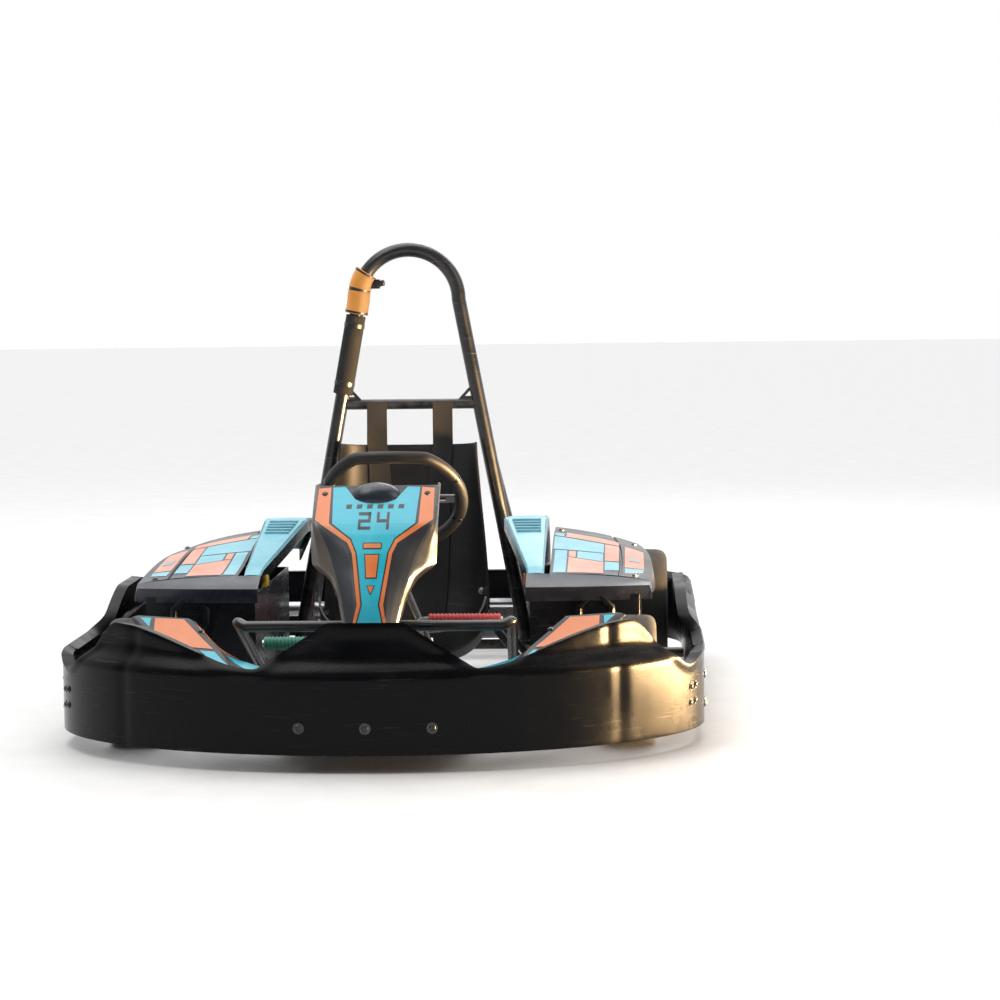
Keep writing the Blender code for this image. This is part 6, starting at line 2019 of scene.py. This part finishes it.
    def build(self) -> None:
        """Makes the axle, what turns with it and what drives and stops it."""
        shop = self.shop
        shop.refine("rear_axle", SATIN_STEEL, "machined_steel", 0.0015, body=Body.REAR)
        for side in SIDES:
            node = side + "_axle_bearing"
            cap = bmesh.new()
            x = SIDES[side] * 0.275
            for y in (-0.024, 0.024):
                spot = at(x, self.axle_back, self.axle_height + 0.034) + Vector((0.0, y, 0.0))
                merge(cap, bolt(spot, UP, 0.0045))
            shop.refine(node, CAST_ALLOY, "cast_alloy", 0.0015, cap)
        big = self.sprocket(at(self.sprocket_x, self.axle_back, self.axle_height), 0.080, 50, 0.028, 0.0181)
        shop.piece(
            "visual_rear_sprocket", big, SATIN_STEEL, "machined_steel", ["rear_sprocket"], body=Body.REAR)
        small = self.sprocket(at(self.sprocket_x, self.motor_back, self.motor_height), 0.032, 20, 0.0, 0.0)
        shop.piece(
            "visual_motor_sprocket", small, SATIN_STEEL, "machined_steel", ["motor_sprocket"],
            body=Body.MOTOR)
        shop.piece("visual_drive_chain", self.chain(), DARK_STEEL, "machined_steel", ["drive_chain"])
        shop.piece(
            "visual_brake_disc", self.disc(), SATIN_STEEL, "machined_steel", ["brake_disc"], body=Body.REAR)
        shop.piece("visual_drive_motor", self.motor(), DARK_PLASTIC, "motor_paint", ["drive_motor"])
        low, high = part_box("motor_controller")
        fins = bmesh.new()
        for step in range(9):
            y = low.y + 0.008 + step * (high.y - low.y - 0.016) / 8
            merge(
                fins, block((low.x + 0.006, y - 0.0015, high.z - 0.001),
                (high.x - 0.006, y + 0.0015, high.z + 0.007), 0.0006))
        shop.refine("motor_controller", CAST_ALLOY, "cast_alloy", 0.002, fins)
        heads = bmesh.new()
        for z in (-0.018, 0.022):
            spot = at(self.disc_x, self.axle_back - 0.092, self.axle_height + z)
            for sign in (-1, 1):
                merge(heads, bolt(spot + Vector((sign * 0.020, 0.012, 0.0)), Vector((sign, 0, 0)), 0.0045))
        shop.refine("brake_caliper", CALIPER_RED, "caliper_red", 0.002, heads)


# ---- studio
@dataclass
class Studio:
    """The pale floor, the soft lights and the camera."""

    lens: float = 100.2
    sensor: float = 36.0

    def floor(self) -> None:
        """Makes the pale floor that the kart stands on."""
        bm = bmesh.new()
        bmesh.ops.create_grid(bm, x_segments=1, y_segments=1, size=30.0)
        mesh = bpy.data.meshes.new("floor")
        bm.to_mesh(mesh)
        bm.free()
        obj = placed("floor", mesh)
        paint = Finish("floor_paint", (0.82, 0.82, 0.82), (0.86, 0.86, 0.86), 0.65, 0.10, wear=0.0, dust=0.0,
                       fine=90.0, bump=0.03)
        mesh.materials.append(paint.material())

    def light(self, name: str, place: Sequence[float], size: tuple[float, float], power: float,
              colour: Colour = (1.0, 1.0, 1.0), aim: Sequence[float] = (0.0, 0.0, 0.3)) -> bpy.types.Object:
        """Adds a soft rectangular light.

        Args:
            name: the light's name.
            place: where it stands.
            size: its width and height.
            power: its power in watts.
            colour: its colour.
            aim: what it looks at.
        Returns:
            The light.
        """
        data = bpy.data.lights.new(name, "AREA")
        data.shape = "RECTANGLE"
        data.size, data.size_y = size
        data.energy = power
        data.color = colour
        obj = placed(name, data)
        spot = Vector(place)
        turn = (Vector(aim) - spot).to_track_quat("-Z", "Y").to_matrix().to_4x4()
        obj.matrix_world = Matrix.Translation(spot) @ turn
        return obj

    def sky_light(self) -> None:
        """Adds a very soft light from overhead that keeps the whole floor pale."""
        data = bpy.data.lights.new("overhead", "SUN")
        data.energy = 1.6
        data.angle = math.radians(60.0)
        obj = placed("overhead", data)
        obj.rotation_euler = (math.radians(-12.0), math.radians(-8.0), 0.0)

    def camera(self) -> None:
        """Places the camera low and far ahead of the nose, a little to the driver's left."""
        data = bpy.data.cameras.new("camera")
        data.lens = self.lens
        data.sensor_width = self.sensor
        data.dof.use_dof = False
        obj = placed("camera", data)
        right = Vector((0.99893306, 0.04457136, -0.01208857))
        up = Vector((0.00836586, 0.08278239, 0.99653253))
        ahead = Vector((-0.04541753, 0.99557042, -0.08232118))
        turn = Matrix((right, up, -ahead)).transposed().to_4x4()
        obj.matrix_world = Matrix.Translation((0.504, -6.155, 0.960)) @ turn
        bpy.context.scene.camera = obj

    def build(self) -> None:
        """Sets up the floor, the light and the view."""
        self.floor()
        world = bpy.data.worlds.new("studio")
        world.use_nodes = True
        tree = world.node_tree
        back = tree.nodes["Background"]
        back.inputs["Color"].default_value = (1.0, 1.0, 1.0, 1.0)
        parts = wire(tree, "SeparateXYZ", {0: wire(tree, "TexCoord").outputs["Generated"]})
        behind = wire(
            tree, "MapRange", {"Value": parts.outputs["Y"], "From Min": -0.35, "From Max": 0.55,
            "To Min": 0.16, "To Max": 1.0})
        tree.links.new(behind.outputs["Result"], back.inputs["Strength"])
        bpy.context.scene.world = world
        bpy.context.scene.view_settings.view_transform = "Standard"
        self.light("key", (-2.2, -1.6, 4.4), (2.4, 2.4), 50.0, (1.0, 0.98, 0.95))
        self.light("fill", (3.4, -1.4, 2.8), (2.0, 2.0), 26.0, (1.0, 0.97, 0.93))
        self.light("rim", (1.2, 4.0, 3.4), (3.0, 1.6), 45.0)
        warm = self.light(
            "warm", (1.75, -0.50, 0.17), (1.3, 0.30), 340.0, (1.0, 0.64, 0.30), (0.4, -0.60, 0.10))
        warm.visible_diffuse = False
        self.sky_light()
        self.camera()


# ---- the kart
@dataclass
class Kart:
    """The whole kart, sub-assembly by sub-assembly."""

    shop: Workshop = field(default_factory=Workshop)

    def wheels(self) -> list[Wheel]:
        """The four wheels."""
        found = []
        for side, sign in SIDES.items():
            front = Body.LEFT_FRONT if side == "left" else Body.RIGHT_FRONT
            found.append(Wheel(self.shop, side + "_front", front, sign * 0.500, 0.40, 0.127, 0.125, 0.0112))
            found.append(
                Wheel(self.shop, side + "_rear", Body.REAR, sign * 0.510, 1.48, 0.140, 0.180, 0.0181))
        return found

    def build(self) -> None:
        """Makes every piece."""
        shop = self.shop
        parts = [BumperRing(shop), FrontFairing(shop), SteeringFairing(shop), Pod(shop, "left"),
                 Pod(shop, "right"), Seat(shop), RollHoop(shop), FootGuard(shop), SteeringWheel(shop),
                 SteeringGear(shop), Pedals(shop), *self.wheels(), Chassis(shop), Drive(shop)]
        for part in parts:
            LOG.info("building %s", type(part).__name__)
            part.build()


def material_of_nodes(default: Finish) -> None:
    """Gives every CAD node a procedural material too."""
    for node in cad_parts.values():
        node.data.materials.clear()
        node.data.materials.append(default.material())


def save_sizes() -> None:
    """Brings the view layer up to date."""
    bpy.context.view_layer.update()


def main() -> None:
    """Builds the kart and the studio."""
    logging.basicConfig(level=logging.INFO, format="%(message)s")
    kart = Kart()
    kart.build()
    material_of_nodes(FRAME_PAINT)
    Studio().build()
    save_sizes()
    LOG.info("%d pieces", kart.shop.count)


if __name__ == "__main__":
    main()
